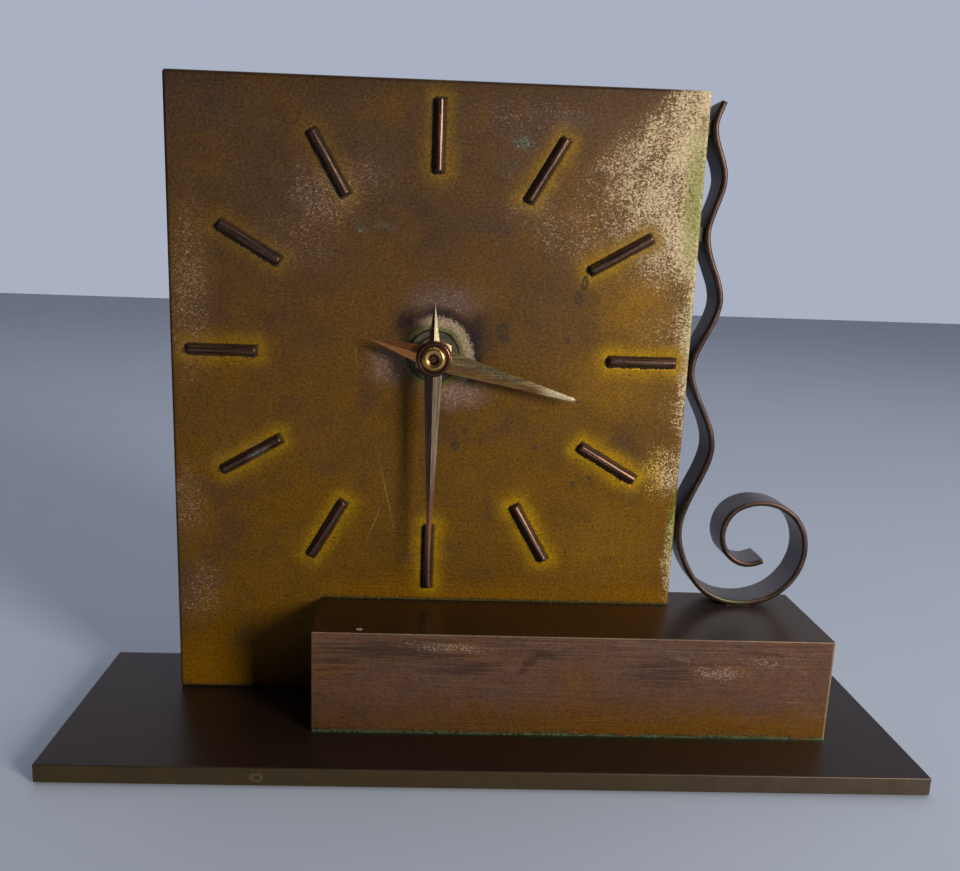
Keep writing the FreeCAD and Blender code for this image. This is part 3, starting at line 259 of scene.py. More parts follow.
faceLook = {
    "top": tone(82, 60, 42), "low": tone(105, 70, 0), "dark": tone(56, 40, 28), "amber": tone(106, 70, 22),
    "halo": tone(160, 122, 0), "band": tone(126, 84, 0), "crack": tone(26, 18, 14),
    "cream": tone(196, 176, 142), "pink": tone(162, 132, 112), "olive": tone(100, 114, 34),
    "verdigris": tone(92, 168, 150), "spot": tone(66, 50, 36),
    "umber": tone(64, 44, 40), "goldStain": tone(142, 100, 6), "edgeDark": tone(30, 22, 18),
    "bruise": tone(48, 36, 40), "cloud": tone(118, 94, 90), "inkStain": tone(26, 19, 24),
    "pinkGround": tone(120, 92, 74), "goldWear": tone(196, 162, 70), "wearGround": tone(140, 108, 62),
    "greyGround": tone(92, 88, 84), "scratch": tone(170, 136, 80), "hubShade": tone(44, 34, 40),
    "hubPale": tone(166, 144, 118), "hubGrain": tone(30, 24, 28), "hubGreen": tone(82, 92, 44),
    "hubGap": tone(30, 26, 18), "seam": tone(46, 56, 36), "side": tone(84, 62, 44),
    "sideDark": tone(48, 36, 28), "sideBrushed": tone(120, 92, 62), "edgeHighlight": tone(196, 170, 128),
    # each row: across, up, radius across, radius up, lean in degrees, strength
    "creamWear": [(66, 98, 12, 13, 12, 0.72), (71, 66, 4, 26, 0, 0.7), (71, 140, 5, 34, 0, 0.8),
                  (60, 150, 12, 12, 20, 0.28), (68, 124, 7, 12, 0, 0.4), (24, 181, 22, 11, -18, 0.44)],
    "golden": [(50, 158, 16, 14, 20, 0.8), (44, 130, 22, 14, 0, 0.6), (46, 66, 24, 20, 0, 0.5)],
    "pinkWear": [(-62, 193, 17, 14, -28, 0.60), (-50, 200, 16, 10, 10, 0.46),
                 (-70, 178, 18, 12, 0, 0.40), (-109, 158, 10, 40, 0, 0.55), (-112, 82, 9, 18, 0, 0.52),
                 (-108, 46, 11, 17, -15, 0.50), (12, 192, 13, 9, 10, 0.45), (-38, 135, 9, 9, 0, 0.55),
                 (-12, 125, 11, 7, 0, 0.55), (-20, 157, 15, 8, 0, 0.40), (-60, 24, 10, 24, 0, 0.50),
                 (8, 221, 30, 8, 0, 0.34)],
    "oliveTint": [(69, 196, 5, 28, 0, 0.85), (71, 74, 2.5, 18, 0, 0.6), (71, 150, 2.5, 16, 0, 0.4)],
    "purple": [(-29, 150, 9, 7, -10, 1.0), (-20, 156, 15, 8, 0, 0.75), (-4, 146, 7, 12, -10, 0.85),
               (4, 178, 26, 14, 0, 0.35), (6, 221, 34, 8, 0, 0.45), (-34, 138, 9, 8, 0, 0.6),
               (3.8, 145.5, 2, 2.8, 0, 0.9)],
    "ink": [(-30, 149, 7, 7, -20, 0.85), (-8, 147, 4, 9, -20, 0.7), (-29, 131, 6, 3.5, 30, 0.6)],
    "clouds": [(-38, 135, 8, 8, 0, 0.8), (-12, 125, 13, 7, 5, 0.8), (-18, 158, 16, 7, 0, 0.6)],
    "greenSpecks": [(7, 213, 5, 3.5, 0, 1.0), (-48, 182, 3.5, 2, -20, 0.9),
                    (-40, 184, 5, 2.2, -20, 0.8), (-86, 102, 5, 2.6, 25, 1.0), (3, 205, 6, 5, 0, 0.5),
                    (24, 221, 7, 3, 0, 0.5)],
    "scratches": [(-38, 86, 0.35, 17, 12, 1.0), (-43, 74, 0.3, 12, -20, 0.9), (-50, 138, 0.3, 6, 5, 1.0)],
    "roundSpots": [(29.6, 160.5, 1.7, 2.4, 0, 1.0), (31.5, 166, 1.2, 3.0, 0, 0.8),
                   (26.5, 145.3, 1.2, 1.2, 0, 1.0), (-13.2, 105.5, 1.8, 1.9, 0, 0.9),
                   (-9.6, 111, 1.0, 1.3, 0, 0.8), (31.5, 92, 1.1, 1.1, 0, 0.9),
                   (37.5, 94.5, 1.0, 0.8, 0, 0.8), (16.5, 105.5, 1.1, 1.1, 0, 0.8),
                   (2.8, 147.5, 2.4, 4.0, 5, 0.8)],
}


def barDistance(x, z, d):
    # folds the dial into one twelfth, then takes the distance to the edge of that hour's bar
    dx, dz = x - d["x"], z - d["z"]
    angle = dx.math("ARCTAN2", dz)
    hour = (angle / math.radians(30)).math("ROUND")
    local = angle - hour * math.radians(30)
    radius = (dx * dx + dz * dz).math("SQRT")
    along = (radius * local.math("COSINE") - d["ring"]).abs() - d["half"]
    across = (radius * local.math("SINE")).abs() - d["wide"]
    along, across = along.most(0.0), across.most(0.0)
    return (along * along + across * across).math("SQRT"), radius


def makeFaceMaterial(look):
    # layers from the ground up: height sets the brown, golden lower down partly as a painted reflection
    # of the pale table; slow noises drift it, ovals place the stains, the distance to the nearest bar sets
    # the golden rings, and a fine noise above a threshold that falls with wear gives specks
    material, tree, shader, place, (x, y, z) = startMaterial("caseFace")
    front = y.step(15.4, 14.4)
    loose = warped(tree, place, 0.22, 2.5)
    broad = noise(tree, place, 0.028, 4.0, 0.55, shift=(7, 0, 3))
    cloudy = noise(tree, place, 0.11, 5.0, 0.6)
    fine = noise(tree, place, 1.1, 4.0, 0.65)
    grain = noise(tree, place, 1.3, 2.0, 0.8, stretch=(0.7, 1, 1.0))
    brushed = noise(tree, place, 1.0, 3.0, 0.6, stretch=(0.06, 1, 2.6))
    grit = noise(tree, place, 1.7, 3.0, 0.66, stretch=(0.85, 1, 1.15), bend=0.6)
    # brown at the top, golden towards the bottom: partly the patina's own tone, partly a painted reflection
    # of the pale table in front
    height = z.step(225.0, 70.0)
    base = blend(tree, height * 0.8 + (broad - 0.5) * 0.9 + 0.1, look["top"], look["low"])
    base = blend(tree, cloudy.step(0.60, 0.30) * 0.26, base, look["dark"])
    drift = noise(tree, place, 0.045, 3.0, 0.6, shift=(60, 0, 20))
    base = blend(tree, drift.step(0.50, 0.70) * 0.45, base, look["amber"])
    base = blend(tree, drift.step(0.44, 0.28) * 0.45, base, look["umber"])
    golden = patches(tree, loose, look["golden"], core=0.1) * (cloudy * 1.2 + 0.2)
    base = blend(tree, golden.least(1.0) * 0.75, base, look["goldStain"])
    base = blend(tree, (z.step(222.0, 233.0) + x.step(-110.0, -117.0) * 0.5) * 0.4, base, look["dark"])
    # the top and left edges of the face are darkened: painted shade on the bend that turns away from the
    # light
    outer = z.step(231.0, 232.4).most(x.step(-115.0, -116.4)) * (cloudy * 0.6 + 0.45)
    base = blend(tree, outer.least(1.0), base, look["edgeDark"])
    bruise = patches(tree, loose, look["purple"]) * cloudy.step(0.30, 0.62)
    base = blend(tree, bruise * 0.80, base, look["bruise"])
    ink = patches(tree, loose, look["ink"], core=0.2)
    clouds = patches(tree, loose, look["clouds"], core=0.1) * (cloudy * 0.6 + 0.35)
    base = blend(tree, clouds, base, look["cloud"])
    base = blend(tree, ink * (grit * 0.8 + 0.4), base, look["inkStain"])
    # golden band above the plinth and low on the left
    band = z.step(57.0, 47.0) * x.step(-66.0, -55.0) + z.step(34.0, 14.0) * x.step(-85.0, -100.0)
    base = blend(tree, band * (broad * 0.7 + 0.35), base, look["band"])
    # rings round the bars
    distance, radius = barDistance(x, z, dial)
    uneven = noise(tree, place, 0.16, 3.0, 0.6, shift=(31, 0, 9))
    ring = (distance + (uneven - 0.5) * 6.0).step(9.5, -1.5)
    lower = z.step(215.0, 95.0) * 0.5 + x.step(-110.0, 40.0) * 0.4
    base = blend(tree, ring * ring * (lower + 0.12), base, look["halo"])
    # worn speckle: a wedge that opens to the top right corner, thickest at the right edge, and smaller
    # patches
    above = (z + x * 0.35).step(170.0, 202.0)
    below = (z + x * -0.88).step(190.0, 174.0)
    wedge = (x + (cloudy - 0.5) * 30.0).step(-16.0, 96.0) * above * below
    margin = (x + (cloudy - 0.5) * 8.0).step(60.0, 73.0) * z.step(60.0, 160.0) * 0.95
    wear = wedge.most(margin).most(patches(tree, loose, look["creamWear"]))
    wearSpeck = (grit + wear * 0.35 + (cloudy - 0.5) * 0.20).step(0.69, 0.78) * wear.step(0.02, 0.16)
    pinkWear = patches(tree, loose, look["pinkWear"])
    pinkSpeck = (grit + pinkWear * 0.26 + (cloudy - 0.5) * 0.10).step(0.67, 0.76) * pinkWear.step(0.02, 0.2)
    base = blend(tree, pinkWear * 0.22, base, look["pinkGround"])
    base = blend(tree, pinkSpeck * 0.62, base, look["pink"])
    away = distance.step(0.6, 6.5)
    gold = blend(tree, z.step(120.0, 176.0), look["goldWear"], look["cream"])
    cream = blend(tree, x.step(60.0, 70.0), gold, look["cream"])
    cream = blend(tree, x.step(52.0, 24.0) * 0.9, cream, look["pink"])
    base = blend(tree, wear * 0.16 * away, base, look["wearGround"])
    base = blend(tree, wearSpeck * (away * (wear * 0.24 + 0.55) + 0.10), base, cream)
    olive = patches(tree, loose, look["oliveTint"])
    base = blend(tree, olive * (wearSpeck * -0.30 + 0.95), base, look["olive"])
    # a few bright green grains, then round stains with darker rims
    specks = patches(tree, loose, look["greenSpecks"])
    base = blend(tree, specks * 0.25, base, look["greyGround"])
    grains = (grit + specks * 0.18).step(0.74, 0.80) * specks.step(0.05, 0.3)
    base = blend(tree, grains * 0.85, base, look["verdigris"])
    # fine scratches
    near = warped(tree, place, 0.9, 0.35)
    lines = patches(tree, near, look["scratches"], core=0.0)
    base = blend(tree, lines * 0.32, base, look["scratch"])
    spots = patches(tree, near, look["roundSpots"], core=0.0)
    rim = spots.step(0.05, 0.25) * (spots.step(0.80, 0.35) * 0.45 + 0.50)
    base = blend(tree, rim, base, look["spot"])
    # the middle: dark gap, green ring, a pale worn patch up to the right, black grains beyond it
    dx, dz = x - dial["x"], z - dial["z"]
    hubWave = radius + (uneven - 0.5) * 3.2
    upRight = ((dx * 0.80 + dz * 0.60) / radius).step(0.10, 0.62)
    hubShade = hubWave.step(19.5, 16.0) * hubWave.step(11.0, 14.0) * upRight * 0.7
    base = blend(tree, hubShade, base, look["hubShade"])
    disc = (hubWave + (grit - 0.5) * 3.0).step(15.2, 13.8) * (upRight * 0.80 + 0.06)
    base = blend(tree, disc, base, look["hubPale"])
    grains = (grit + hubWave.step(20.0, 15.0) * hubWave.step(12.5, 15.0) * 0.25).step(0.70, 0.76)
    base = blend(tree, grains * upRight * 0.85, base, look["hubGrain"])
    base = blend(tree, hubWave.step(12.2, 10.4) * (upRight * 0.3 + 0.5), base, look["hubGreen"])
    base = blend(tree, hubWave.step(10.1, 9.3), base, look["hubGap"])
    # dark crack at each bar's foot, ragged on its lower side
    ragged = distance - (grit - 0.45) * 1.2
    base = blend(tree, ragged.step(0.55, 0.10) * 0.85, base, look["crack"])
    # dark verdigris seams at the bottom
    seam = (z + (fine - 0.5) * 3.0).step(9.4, 7.6)
    seam = seam + (z + (fine - 0.5) * 2.0).step(46.4, 45.2) * x.step(-63.0, -62.0)
    base = blend(tree, seam.least(1.0) * 0.8, base, look["seam"])
    shade = (fine - 0.5) * 0.55 + (grain - 0.5) * 2.2 + (brushed - 0.5) * 0.6 * z.step(150.0, 60.0) + 1.0
    base = blend(tree, 1.0, base, shadeColour(tree, shade), "MULTIPLY")
    side = blend(tree, cloudy, look["side"], look["sideDark"])
    side = blend(tree, (brushed - 0.35) * 0.5, side, look["sideBrushed"])
    # the front corner of the right side is painted pale: a painted highlight along the bend
    edge = blend(tree, y.step(14.2, 15.6), look["edgeHighlight"], side)
    side = blend(tree, x.step(70.0, 71.3) * y.step(16.5, 14.2), side, edge)
    feed(tree, shader.inputs["Base Color"], blend(tree, front, side, base))
    wearAll = wearSpeck.most(pinkSpeck * 0.5)
    shader.inputs["Specular IOR Level"].default_value = 0.3
    shader.inputs["Specular Tint"].default_value = (1.0, 0.78, 0.5, 1.0)
    feed(tree, shader.inputs["Metallic"], wearAll * -0.20 + 0.36)
    feed(tree, shader.inputs["Roughness"], wearAll * 0.16 + fine * 0.16 + 0.36)
    height = fine * 0.5 + grain * 0.5 + wearSpeck * 0.7 + ragged.step(1.0, 0.0) * -2.0
    bump(tree, shader, height, 0.00005, 0.8)
    return material


def shadeColour(tree, value):      # one number as a grey colour
    node = tree.nodes.new("ShaderNodeCombineColor")
    for slot in range(3):
        feed(tree, node.inputs[slot], value)
    return Field(tree, node.outputs[0])


# plinth: copper brown, drawn along its length, with a dark glossy top

plinthLook = {
    "copper": tone(98, 70, 56), "rust": tone(90, 58, 38), "gold": tone(100, 64, 10), "dark": tone(40, 28, 27),
    "pale": tone(196, 168, 146), "top": tone(58, 38, 22), "topFarReflection": tone(70, 62, 64),
    "umber": tone(78, 54, 42), "amber": tone(104, 66, 20), "mauve": tone(82, 62, 60),
    "lineLight": tone(150, 122, 102), "lowBrown": tone(70, 48, 20), "footDark": tone(30, 36, 24),
    "footGreen": tone(84, 116, 88), "edgeHighlight": tone(190, 160, 122), "topDark": tone(44, 28, 18),
    "seam": tone(20, 26, 16), "seamGrain": tone(206, 206, 178), "chip": tone(214, 204, 178),
    "smears": [(-34, 38, 34, 5.0, -2, 0.95), (-12, 33, 26, 5.0, -4, 0.8), (-54, 33, 12, 10, 0, 0.7),
               (14, 34, 2.6, 8, -38, 0.8), (20, 38, 7, 2.4, -10, 0.8), (64, 32, 17, 7, 0, 0.75),
               (100, 38, 20, 5, 0, 0.5)],
    "paleSpecks": [(82, 32, 14, 4.5, 0, 1.0), (100, 37, 16, 4, 0, 0.7), (-14, 40, 26, 2.2, -2, 0.9),
                   (70, 37, 8, 3, 0, 0.6)],
}


def makePlinthMaterial(look):
    # copper and rust mixed by a slow noise, noises stretched along X for the drawn lines, ovals for the
    # smears
    material, tree, shader, place, (x, y, z) = startMaterial("plinthSheet")
    loose = warped(tree, place, 0.2, 2.0)
    up = facing(tree, 2).step(0.5, 0.9)
    frontOn = facing(tree, 1).step(-0.5, -0.8)
    broad = noise(tree, place, 0.03, 3.0, 0.55)
    cloudy = noise(tree, place, 0.12, 4.0, 0.6)
    grain = noise(tree, place, 2.2, 3.0, 0.7, stretch=(0.4, 1, 1.0))
    lines = noise(tree, place, 1.0, 4.0, 0.7, stretch=(0.035, 1, 2.4))
    hair = noise(tree, place, 1.0, 2.0, 0.5, stretch=(0.05, 1, 6.0), shift=(3, 0, 8))
    grit = noise(tree, place, 1.5, 3.0, 0.6, stretch=(0.7, 1, 1.2), bend=0.6)
    base = blend(tree, broad, look["copper"], look["rust"])
    base = blend(tree, cloudy.step(0.6, 0.35) * 0.45, base, look["umber"])
    zone = noise(tree, place, 0.045, 3.0, 0.6, stretch=(0.6, 1, 1.2), shift=(20, 0, 5))
    base = blend(tree, zone.step(0.50, 0.66) * 0.55, base, look["amber"])
    base = blend(tree, zone.step(0.46, 0.30) * 0.60, base, look["mauve"])
    fineLines = noise(tree, place, 1.0, 3.0, 0.6, stretch=(0.03, 1, 3.6), shift=(4, 0, 6))
    upper = z.step(28.0, 40.0) * 0.7 + 0.3
    base = blend(tree, fineLines.step(0.56, 0.70) * upper * 0.35, base, look["lineLight"])
    base = blend(tree, fineLines.step(0.46, 0.32) * upper * 0.6, base, look["dark"])
    low = (z + (cloudy - 0.5) * 16.0).step(26.0, 9.0)
    base = blend(tree, low * (x.step(-70.0, 60.0) * 0.7 + 0.3), base, look["gold"])
    base = blend(tree, low * x.step(40.0, -60.0) * 0.45, base, look["lowBrown"])
    smear = patches(tree, loose, look["smears"], depth=-19.7, core=0.1) * frontOn
    combed = noise(tree, place, 1.0, 4.0, 0.65, stretch=(0.06, 1, 2.2), shift=(9, 0, 1))
    streak = (combed + smear * 0.20 + (cloudy - 0.5) * 0.2).step(0.54, 0.72) * smear.step(0.03, 0.5)
    base = blend(tree, streak * 0.70, base, look["dark"])
    specks = patches(tree, loose, look["paleSpecks"], depth=-19.7, core=0.1) * frontOn
    dust = noise(tree, place, 2.2, 2.0, 0.6, stretch=(0.7, 1, 1.2))
    pale = (dust + hair * 0.2 + specks * 0.24).step(0.80, 0.92) * specks.step(0.03, 0.3)
    base = blend(tree, pale * 0.42, base, look["pale"])
    scratch = hair.step(0.66, 0.80) * cloudy.step(0.35, 0.65)
    base = blend(tree, scratch * 0.30, base, look["pale"])
    foot = (z + (grit - 0.5) * 5.0 + (cloudy - 0.5) * 3.0).step(8.9, 7.2)
    base = blend(tree, foot * 0.85, base, blend(tree, grit.step(0.40, 0.62), look["footDark"],
                                                look["footGreen"]))
    # the right end and the top edge of the front are painted pale: a painted highlight along the box's edges
    rim = x.step(122.2, 123.0).most(z.step(44.2, 44.8) * 0.55) * (lines * 0.5 + 0.5)
    base = blend(tree, rim * 0.6, base, look["edgeHighlight"])
    # the top: dark and glossy, greyer at its right end partly as a painted reflection of the scroll standing
    # there, a green-black seam with white grains at the case
    lid = blend(tree, broad * 0.6 + cloudy * 0.4, look["top"], look["topDark"])
    lid = blend(tree, x.step(52.0, 84.0) * 0.55, lid, look["topFarReflection"])
    seam = (y + (grit - 0.5) * 2.0).step(12.2, 13.4) * x.step(72.5, 71.0)
    lid = blend(tree, seam * 0.9, lid, look["seam"])
    white = (grit * 1.2 + seam * 0.25).step(0.98, 1.06) * seam
    lid = blend(tree, white * 0.7, lid, look["seamGrain"])
    chip = patch(tree, warped(tree, place, 1.3, 0.3), -45.5, 44.9, 0.9, 30.0, 0.0, 1.0, core=0.8)
    lid = blend(tree, chip * y.step(-17.6, -17.0) * y.step(-15.4, -16.0), lid, look["chip"])
    shade = (grain - 0.5) * 1.9 + (lines - 0.5) * 0.9 + 1.0
    base = blend(tree, 1.0, base, shadeColour(tree, shade), "MULTIPLY")
    feed(tree, shader.inputs["Base Color"], blend(tree, up, base, lid))
    shader.inputs["Specular IOR Level"].default_value = 0.35
    shader.inputs["Specular Tint"].default_value = (1.0, 0.85, 0.68, 1.0)
    feed(tree, shader.inputs["Metallic"], up * 0.10 + 0.36)
    feed(tree, shader.inputs["Roughness"], up * -0.15 + streak * 0.15 + lines * 0.14 + 0.36)
    bump(tree, shader, lines * 0.6 + hair * 0.3 + grit * 0.3, 0.00003, 0.7)
    return material


# base slab: dark brown sheen, olive-brown front edge

baseLook = {
    "top": tone(40, 25, 15), "grey": tone(52, 38, 30), "edge": tone(72, 57, 38), "olive": tone(70, 58, 24),
    "grit": tone(120, 104, 84), "footGreen": tone(48, 74, 52), "edgeGrey": tone(74, 62, 54),
    "edgeDark": tone(60, 46, 34), "ring": tone(150, 138, 110),
}


def makeBaseMaterial(look):
    # faces that point up take the dark lid, the others the olive edge; noises stretched along X score both
    material, tree, shader, place, (x, y, _) = startMaterial("baseSlab")
    up = facing(tree, 2).step(0.4, 0.9)
    broad = noise(tree, place, 0.025, 3.0, 0.5)
    cloudy = noise(tree, place, 0.10, 4.0, 0.6)
    lines = noise(tree, place, 1.0, 4.0, 0.65, stretch=(0.04, 0.9, 1.6))
    grit = noise(tree, place, 1.1, 3.0, 0.65)
    lid = blend(tree, broad * 0.5 + cloudy * 0.4, look["grey"], look["top"])
    lid = blend(tree, grit.step(0.70, 0.80) * 0.35, lid, look["grit"])
    foot = (y + (grit - 0.5) * 2.0).step(-21.6, -20.0) * x.step(-63.0, -61.0)
    foot = foot * x.step(125.0, 122.0) * y.step(-18.0, -19.0)
    lid = blend(tree, foot * 0.8, lid, look["footGreen"])
    rough = blend(tree, broad, look["edge"], look["olive"])
    rough = blend(tree, x.step(20.0, 110.0) * 0.6, rough, look["edgeGrey"])
    rough = blend(tree, cloudy.step(0.58, 0.40) * 0.4, rough, look["edgeDark"])
    ringMark = patch(tree, place, -77.0, 3.6, 2.4, 1.8, depth=-44.5, core=0.0)
    ringMark = ringMark * facing(tree, 1).step(-0.5, -0.8)
    rough = blend(tree, ringMark.step(0.1, 0.35) * ringMark.step(0.85, 0.45) * 0.22, rough, look["ring"])
    shade = (lines - 0.5) * 0.5 + (grit - 0.5) * 0.3 + 1.0
    colour = blend(tree, 1.0, blend(tree, up, rough, lid), shadeColour(tree, shade), "MULTIPLY")
    feed(tree, shader.inputs["Base Color"], colour)
    shader.inputs["Metallic"].default_value = 0.55
    feed(tree, shader.inputs["Roughness"], up * -0.08 + lines * 0.12 + cloudy * 0.06 + 0.32)
    bump(tree, shader, lines * 0.5 + grit * 0.4, 0.00003, 0.6)
    return material


# surfaces worked out with numpy, in millimetres

def resampled(points, count, closed=True):
    # evenly spaced points along a line of straight pieces, found by its running length
    line = np.vstack([points, points[:1]]) if closed else points
    lengths = np.concatenate([[0.0], np.cumsum(np.linalg.norm(np.diff(line, axis=0), axis=1))])
    places = np.linspace(0.0, lengths[-1], count, endpoint=not closed)
    return np.stack([np.interp(places, lengths, line[:, axis]) for axis in range(line.shape[1])], axis=1)


def roundedOutline(halfWide, halfTall, corner, count):
    # a rectangle with round corners: a circle whose four quarters are moved out to the corners
    angle = (np.arange(96) + 0.5) / 96 * 2 * np.pi
    c, s = np.cos(angle), np.sin(angle)
    wide = corner * c + np.sign(c) * (halfWide - corner)
    tall = corner * s + np.sign(s) * (halfTall - corner)
    return resampled(np.stack([wide, tall], axis=1), count)


def ripple(count, seed, waves, closed=True):
    # an uneven line about 0: a sum of sine waves whose sizes and phases are drawn from one seed
    draw = np.random.default_rng(seed)
    turn = np.linspace(0.0, 2 * np.pi, count, endpoint=not closed)
    size, phase = draw.normal(0.0, 1.0, waves), draw.uniform(0.0, 2 * np.pi, waves)
    total = (size * np.sin(np.outer(turn, np.arange(1, waves + 1)) + phase)).sum(axis=1)
    return total / math.sqrt(waves / 2)


def smoothLine(points, count):
    # a natural cubic spline through the points: second slopes from one linear system, then the cubic of
    # each span
    points = np.array(points, float)
    span = np.linalg.norm(np.diff(points, axis=0), axis=1)
    knots = np.concatenate([[0.0], np.cumsum(span)])
    system = np.eye(len(points))
    inner = np.arange(1, len(points) - 1)
    system[inner, inner - 1] = span[:-1]
    system[inner, inner] = 2 * (span[:-1] + span[1:])
    system[inner, inner + 1] = span[1:]
    slopes = np.diff(points, axis=0) / span[:, None]
    right = np.zeros_like(points)
    right[1:-1] = 6 * np.diff(slopes, axis=0)
    bend = np.linalg.solve(system, right)
    where = np.linspace(0.0, knots[-1], count)
    k = np.clip(np.searchsorted(knots, where) - 1, 0, len(span) - 1)
    a, b, h = (knots[k + 1] - where)[:, None], (where - knots[k])[:, None], span[k][:, None]
    return (bend[k] * a ** 3 + bend[k + 1] * b ** 3) / (6 * h) + (points[k] / h - bend[k] * h / 6) * a \
        + (points[k + 1] / h - bend[k + 1] * h / 6) * b


def surfacePiece(name, grids, along=None, wrapRows=False, wrapColumns=True):
    # each grid of points becomes quads; poles and seams are merged, and the faces are turned outwards
    points, quads, start = [], [], 0
    for grid in grids:
        rows, columns = grid.shape[:2]
        index = np.arange(rows * columns).reshape(rows, columns) + start
        start += rows * columns
        index = np.vstack([index, index[:1]]) if wrapRows else index
        index = np.hstack([index, index[:, :1]]) if wrapColumns else index
        corners = [index[:-1, :-1], index[1:, :-1], index[1:, 1:], index[:-1, 1:]]
        quads.append(np.stack(corners, axis=-1).reshape(-1, 4))
        points.append(grid.reshape(-1, 3))
    mesh = bpy.data.meshes.new(name)
    mesh.from_pydata((np.concatenate(points) * mm).tolist(), [], np.concatenate(quads).tolist())
    if along is not None:
        layer = mesh.attributes.new("along", "FLOAT_VECTOR", "POINT")
        layer.data.foreach_set("vector", np.concatenate([a.reshape(-1, 3) for a in along]).ravel())
    shell = bmesh.new()
    shell.from_mesh(mesh)
    bmesh.ops.remove_doubles(shell, verts=shell.verts, dist=0.000001)
    bmesh.ops.recalc_face_normals(shell, faces=shell.faces)
    shell.to_mesh(mesh)
    shell.free()
    mesh.shade_smooth()
    piece = bpy.data.objects.new(name, mesh)
    scene.collection.objects.link(piece)
    return piece


def turned(name, profile, centre=None, along="y", count=120, ripples=0.0, teeth=0, closed=True):
    # a profile of radius and depth carried round an axis along Y or X; teeth cut a wave into the widest part
    angle = np.linspace(0.0, 2 * np.pi, count, endpoint=False)
    radius, depth = np.array(profile, float).T
    wide = radius[:, None] * (1 + ripples * np.cos(teeth * angle) * (radius[:, None] > 0.85 * radius.max()))
    depth = np.broadcast_to(depth[:, None], wide.shape)
    first, second = centre or (dial["x"], dial["z"])
    round1, round2 = first + wide * np.sin(angle), second + wide * np.cos(angle)
    grid = np.stack([round1, depth, round2] if along == "y" else [depth, round1, round2], axis=-1)
    return surfacePiece(name, [grid], wrapRows=closed)


def finish(piece, material, body, slot, *replaced):
    piece.data.materials.append(material)
    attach(piece, body)
    if replaced:
        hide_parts(*replaced)
    return piece


def alongField(tree):      # a piece's own along, across and depth, kept with its points
    node = tree.nodes.new("ShaderNodeAttribute")
    node.attribute_name = "along"
    return Field(tree, node.outputs["Vector"])


# hour bars: half round, darkened, with a black crust where they meet the face; on the lower left the crust is
# partly painted shade for the bars' shadow

barLook = {"count": 12, "halfLong": 12.4, "halfWide": 1.8, "tall": 2.4, "round": 1.1, "full": 2.1,
           "light": tone(116, 86, 66), "dark": tone(64, 48, 45), "worn": tone(158, 124, 86),
           "pit": tone(50, 38, 36), "blotPink": tone(150, 96, 88), "blotGreen": tone(92, 158, 142),
           "crustAndShade": tone(40, 32, 20), "crustShadeDark": tone(16, 12, 10),
           "ragged": {3: 0.9, 4: 0.6, 9: 1.0, 10: 1.1, 11: 0.6}}      # how broken each hour's crust is


def hourBarGrid(look, hour):
    # a half ellipse carried along the bar, shrinking over the last millimetre; its flat back is sunk in
    # the face
    ends = look["round"] * (1 - np.cos(np.linspace(0.0, np.pi / 2, 10)))
    half = look["halfLong"]
    middle = np.linspace(-half + look["round"], half - look["round"], 42)[1:-1]
    a = np.concatenate([-half + ends, middle, (half - ends)[::-1]])
    left = 1 - np.clip((half - np.abs(a)) / look["round"], 0.0, 1.0)
    shrink = (1 - left ** 3) ** (1 / 3) * (1 + 0.006 * ripple(len(a), 40 + hour, 7, False))
    t = np.linspace(0.0, np.pi, 27)
    c, s = np.cos(t), np.sin(t)
    wide = np.concatenate([np.sign(c) * np.abs(c) ** (2 / look["full"]), [-0.6, 0.0, 0.6]]) * look["halfWide"]
    tall = np.concatenate([s ** (2 / look["full"]) * look["tall"], [-0.06] * 3])
    b = shrink[:, None] * wide
    h = np.minimum(shrink, 1.0)[:, None] * tall
    a = np.broadcast_to(a[:, None], b.shape)
    return a, b, h


def onDial(hour, a, b, h):
    # from a bar's own along, across and height to the clock's frame
    turn = math.radians(30 * hour)
    x = dial["x"] + (dial["ring"] + a) * math.sin(turn) + b * math.cos(turn)
    z = dial["z"] + (dial["ring"] + a) * math.cos(turn) - b * math.sin(turn)
    return np.stack([x, faceY - h, z], axis=-1)


def crustGrid(look, hour):
    # a low lumpy bead round the bar's outline; it reaches furthest on the side that faces down and left, away
    # from the light, where the dark bead is partly painted shade
    outline = roundedOutline(look["halfLong"], look["halfWide"], 0.8, 260)
    slope = np.roll(outline, -1, axis=0) - np.roll(outline, 1, axis=0)
    out = np.stack([slope[:, 1], -slope[:, 0]], axis=1) / np.linalg.norm(slope, axis=1)[:, None]
    turn = math.radians(30 * hour)
    sideX = out[:, 0] * math.sin(turn) + out[:, 1] * math.cos(turn)
    sideZ = out[:, 0] * math.cos(turn) - out[:, 1] * math.sin(turn)
    shadedSide = np.clip(-0.86 * sideX - 0.50 * sideZ, 0.0, 1.0)
    coarse, fine = ripple(260, 100 + hour, 14), ripple(260, 200 + hour, 60)
    rag = look["ragged"].get(hour, 0.25)
    reach = np.clip(0.20 + shadedSide * (0.70 + 0.25 * rag * coarse) + (0.03 + 0.16 * shadedSide) * rag * fine, 0.10, 1.7)
    tall = (0.30 + 0.60 * shadedSide) * (1 + 0.15 * fine)
    across = np.array([-0.5, -0.25, 0.0, 0.25, 0.5, 0.75, 0.93, 1.0, 1.0, -0.5])
    height = np.array([0.9, 1.0, 0.85, 0.62, 0.42, 0.24, 0.10, 0.0, -0.2, -0.2])
    offset = np.where(across > 0, across, across * 0.8) * np.where(across > 0, reach[:, None], 1.0)
    place = outline[:, None, :] + out[:, None, :] * offset[..., None]
    lumps = 1 + 0.22 * np.stack([ripple(260, 300 + 10 * hour + k, 70) for k in range(len(across))], axis=1)
    h = np.where(height > 0, height * tall[:, None] * lumps, height * 0.3)
    return onDial(hour, place[..., 0], place[..., 1], h)


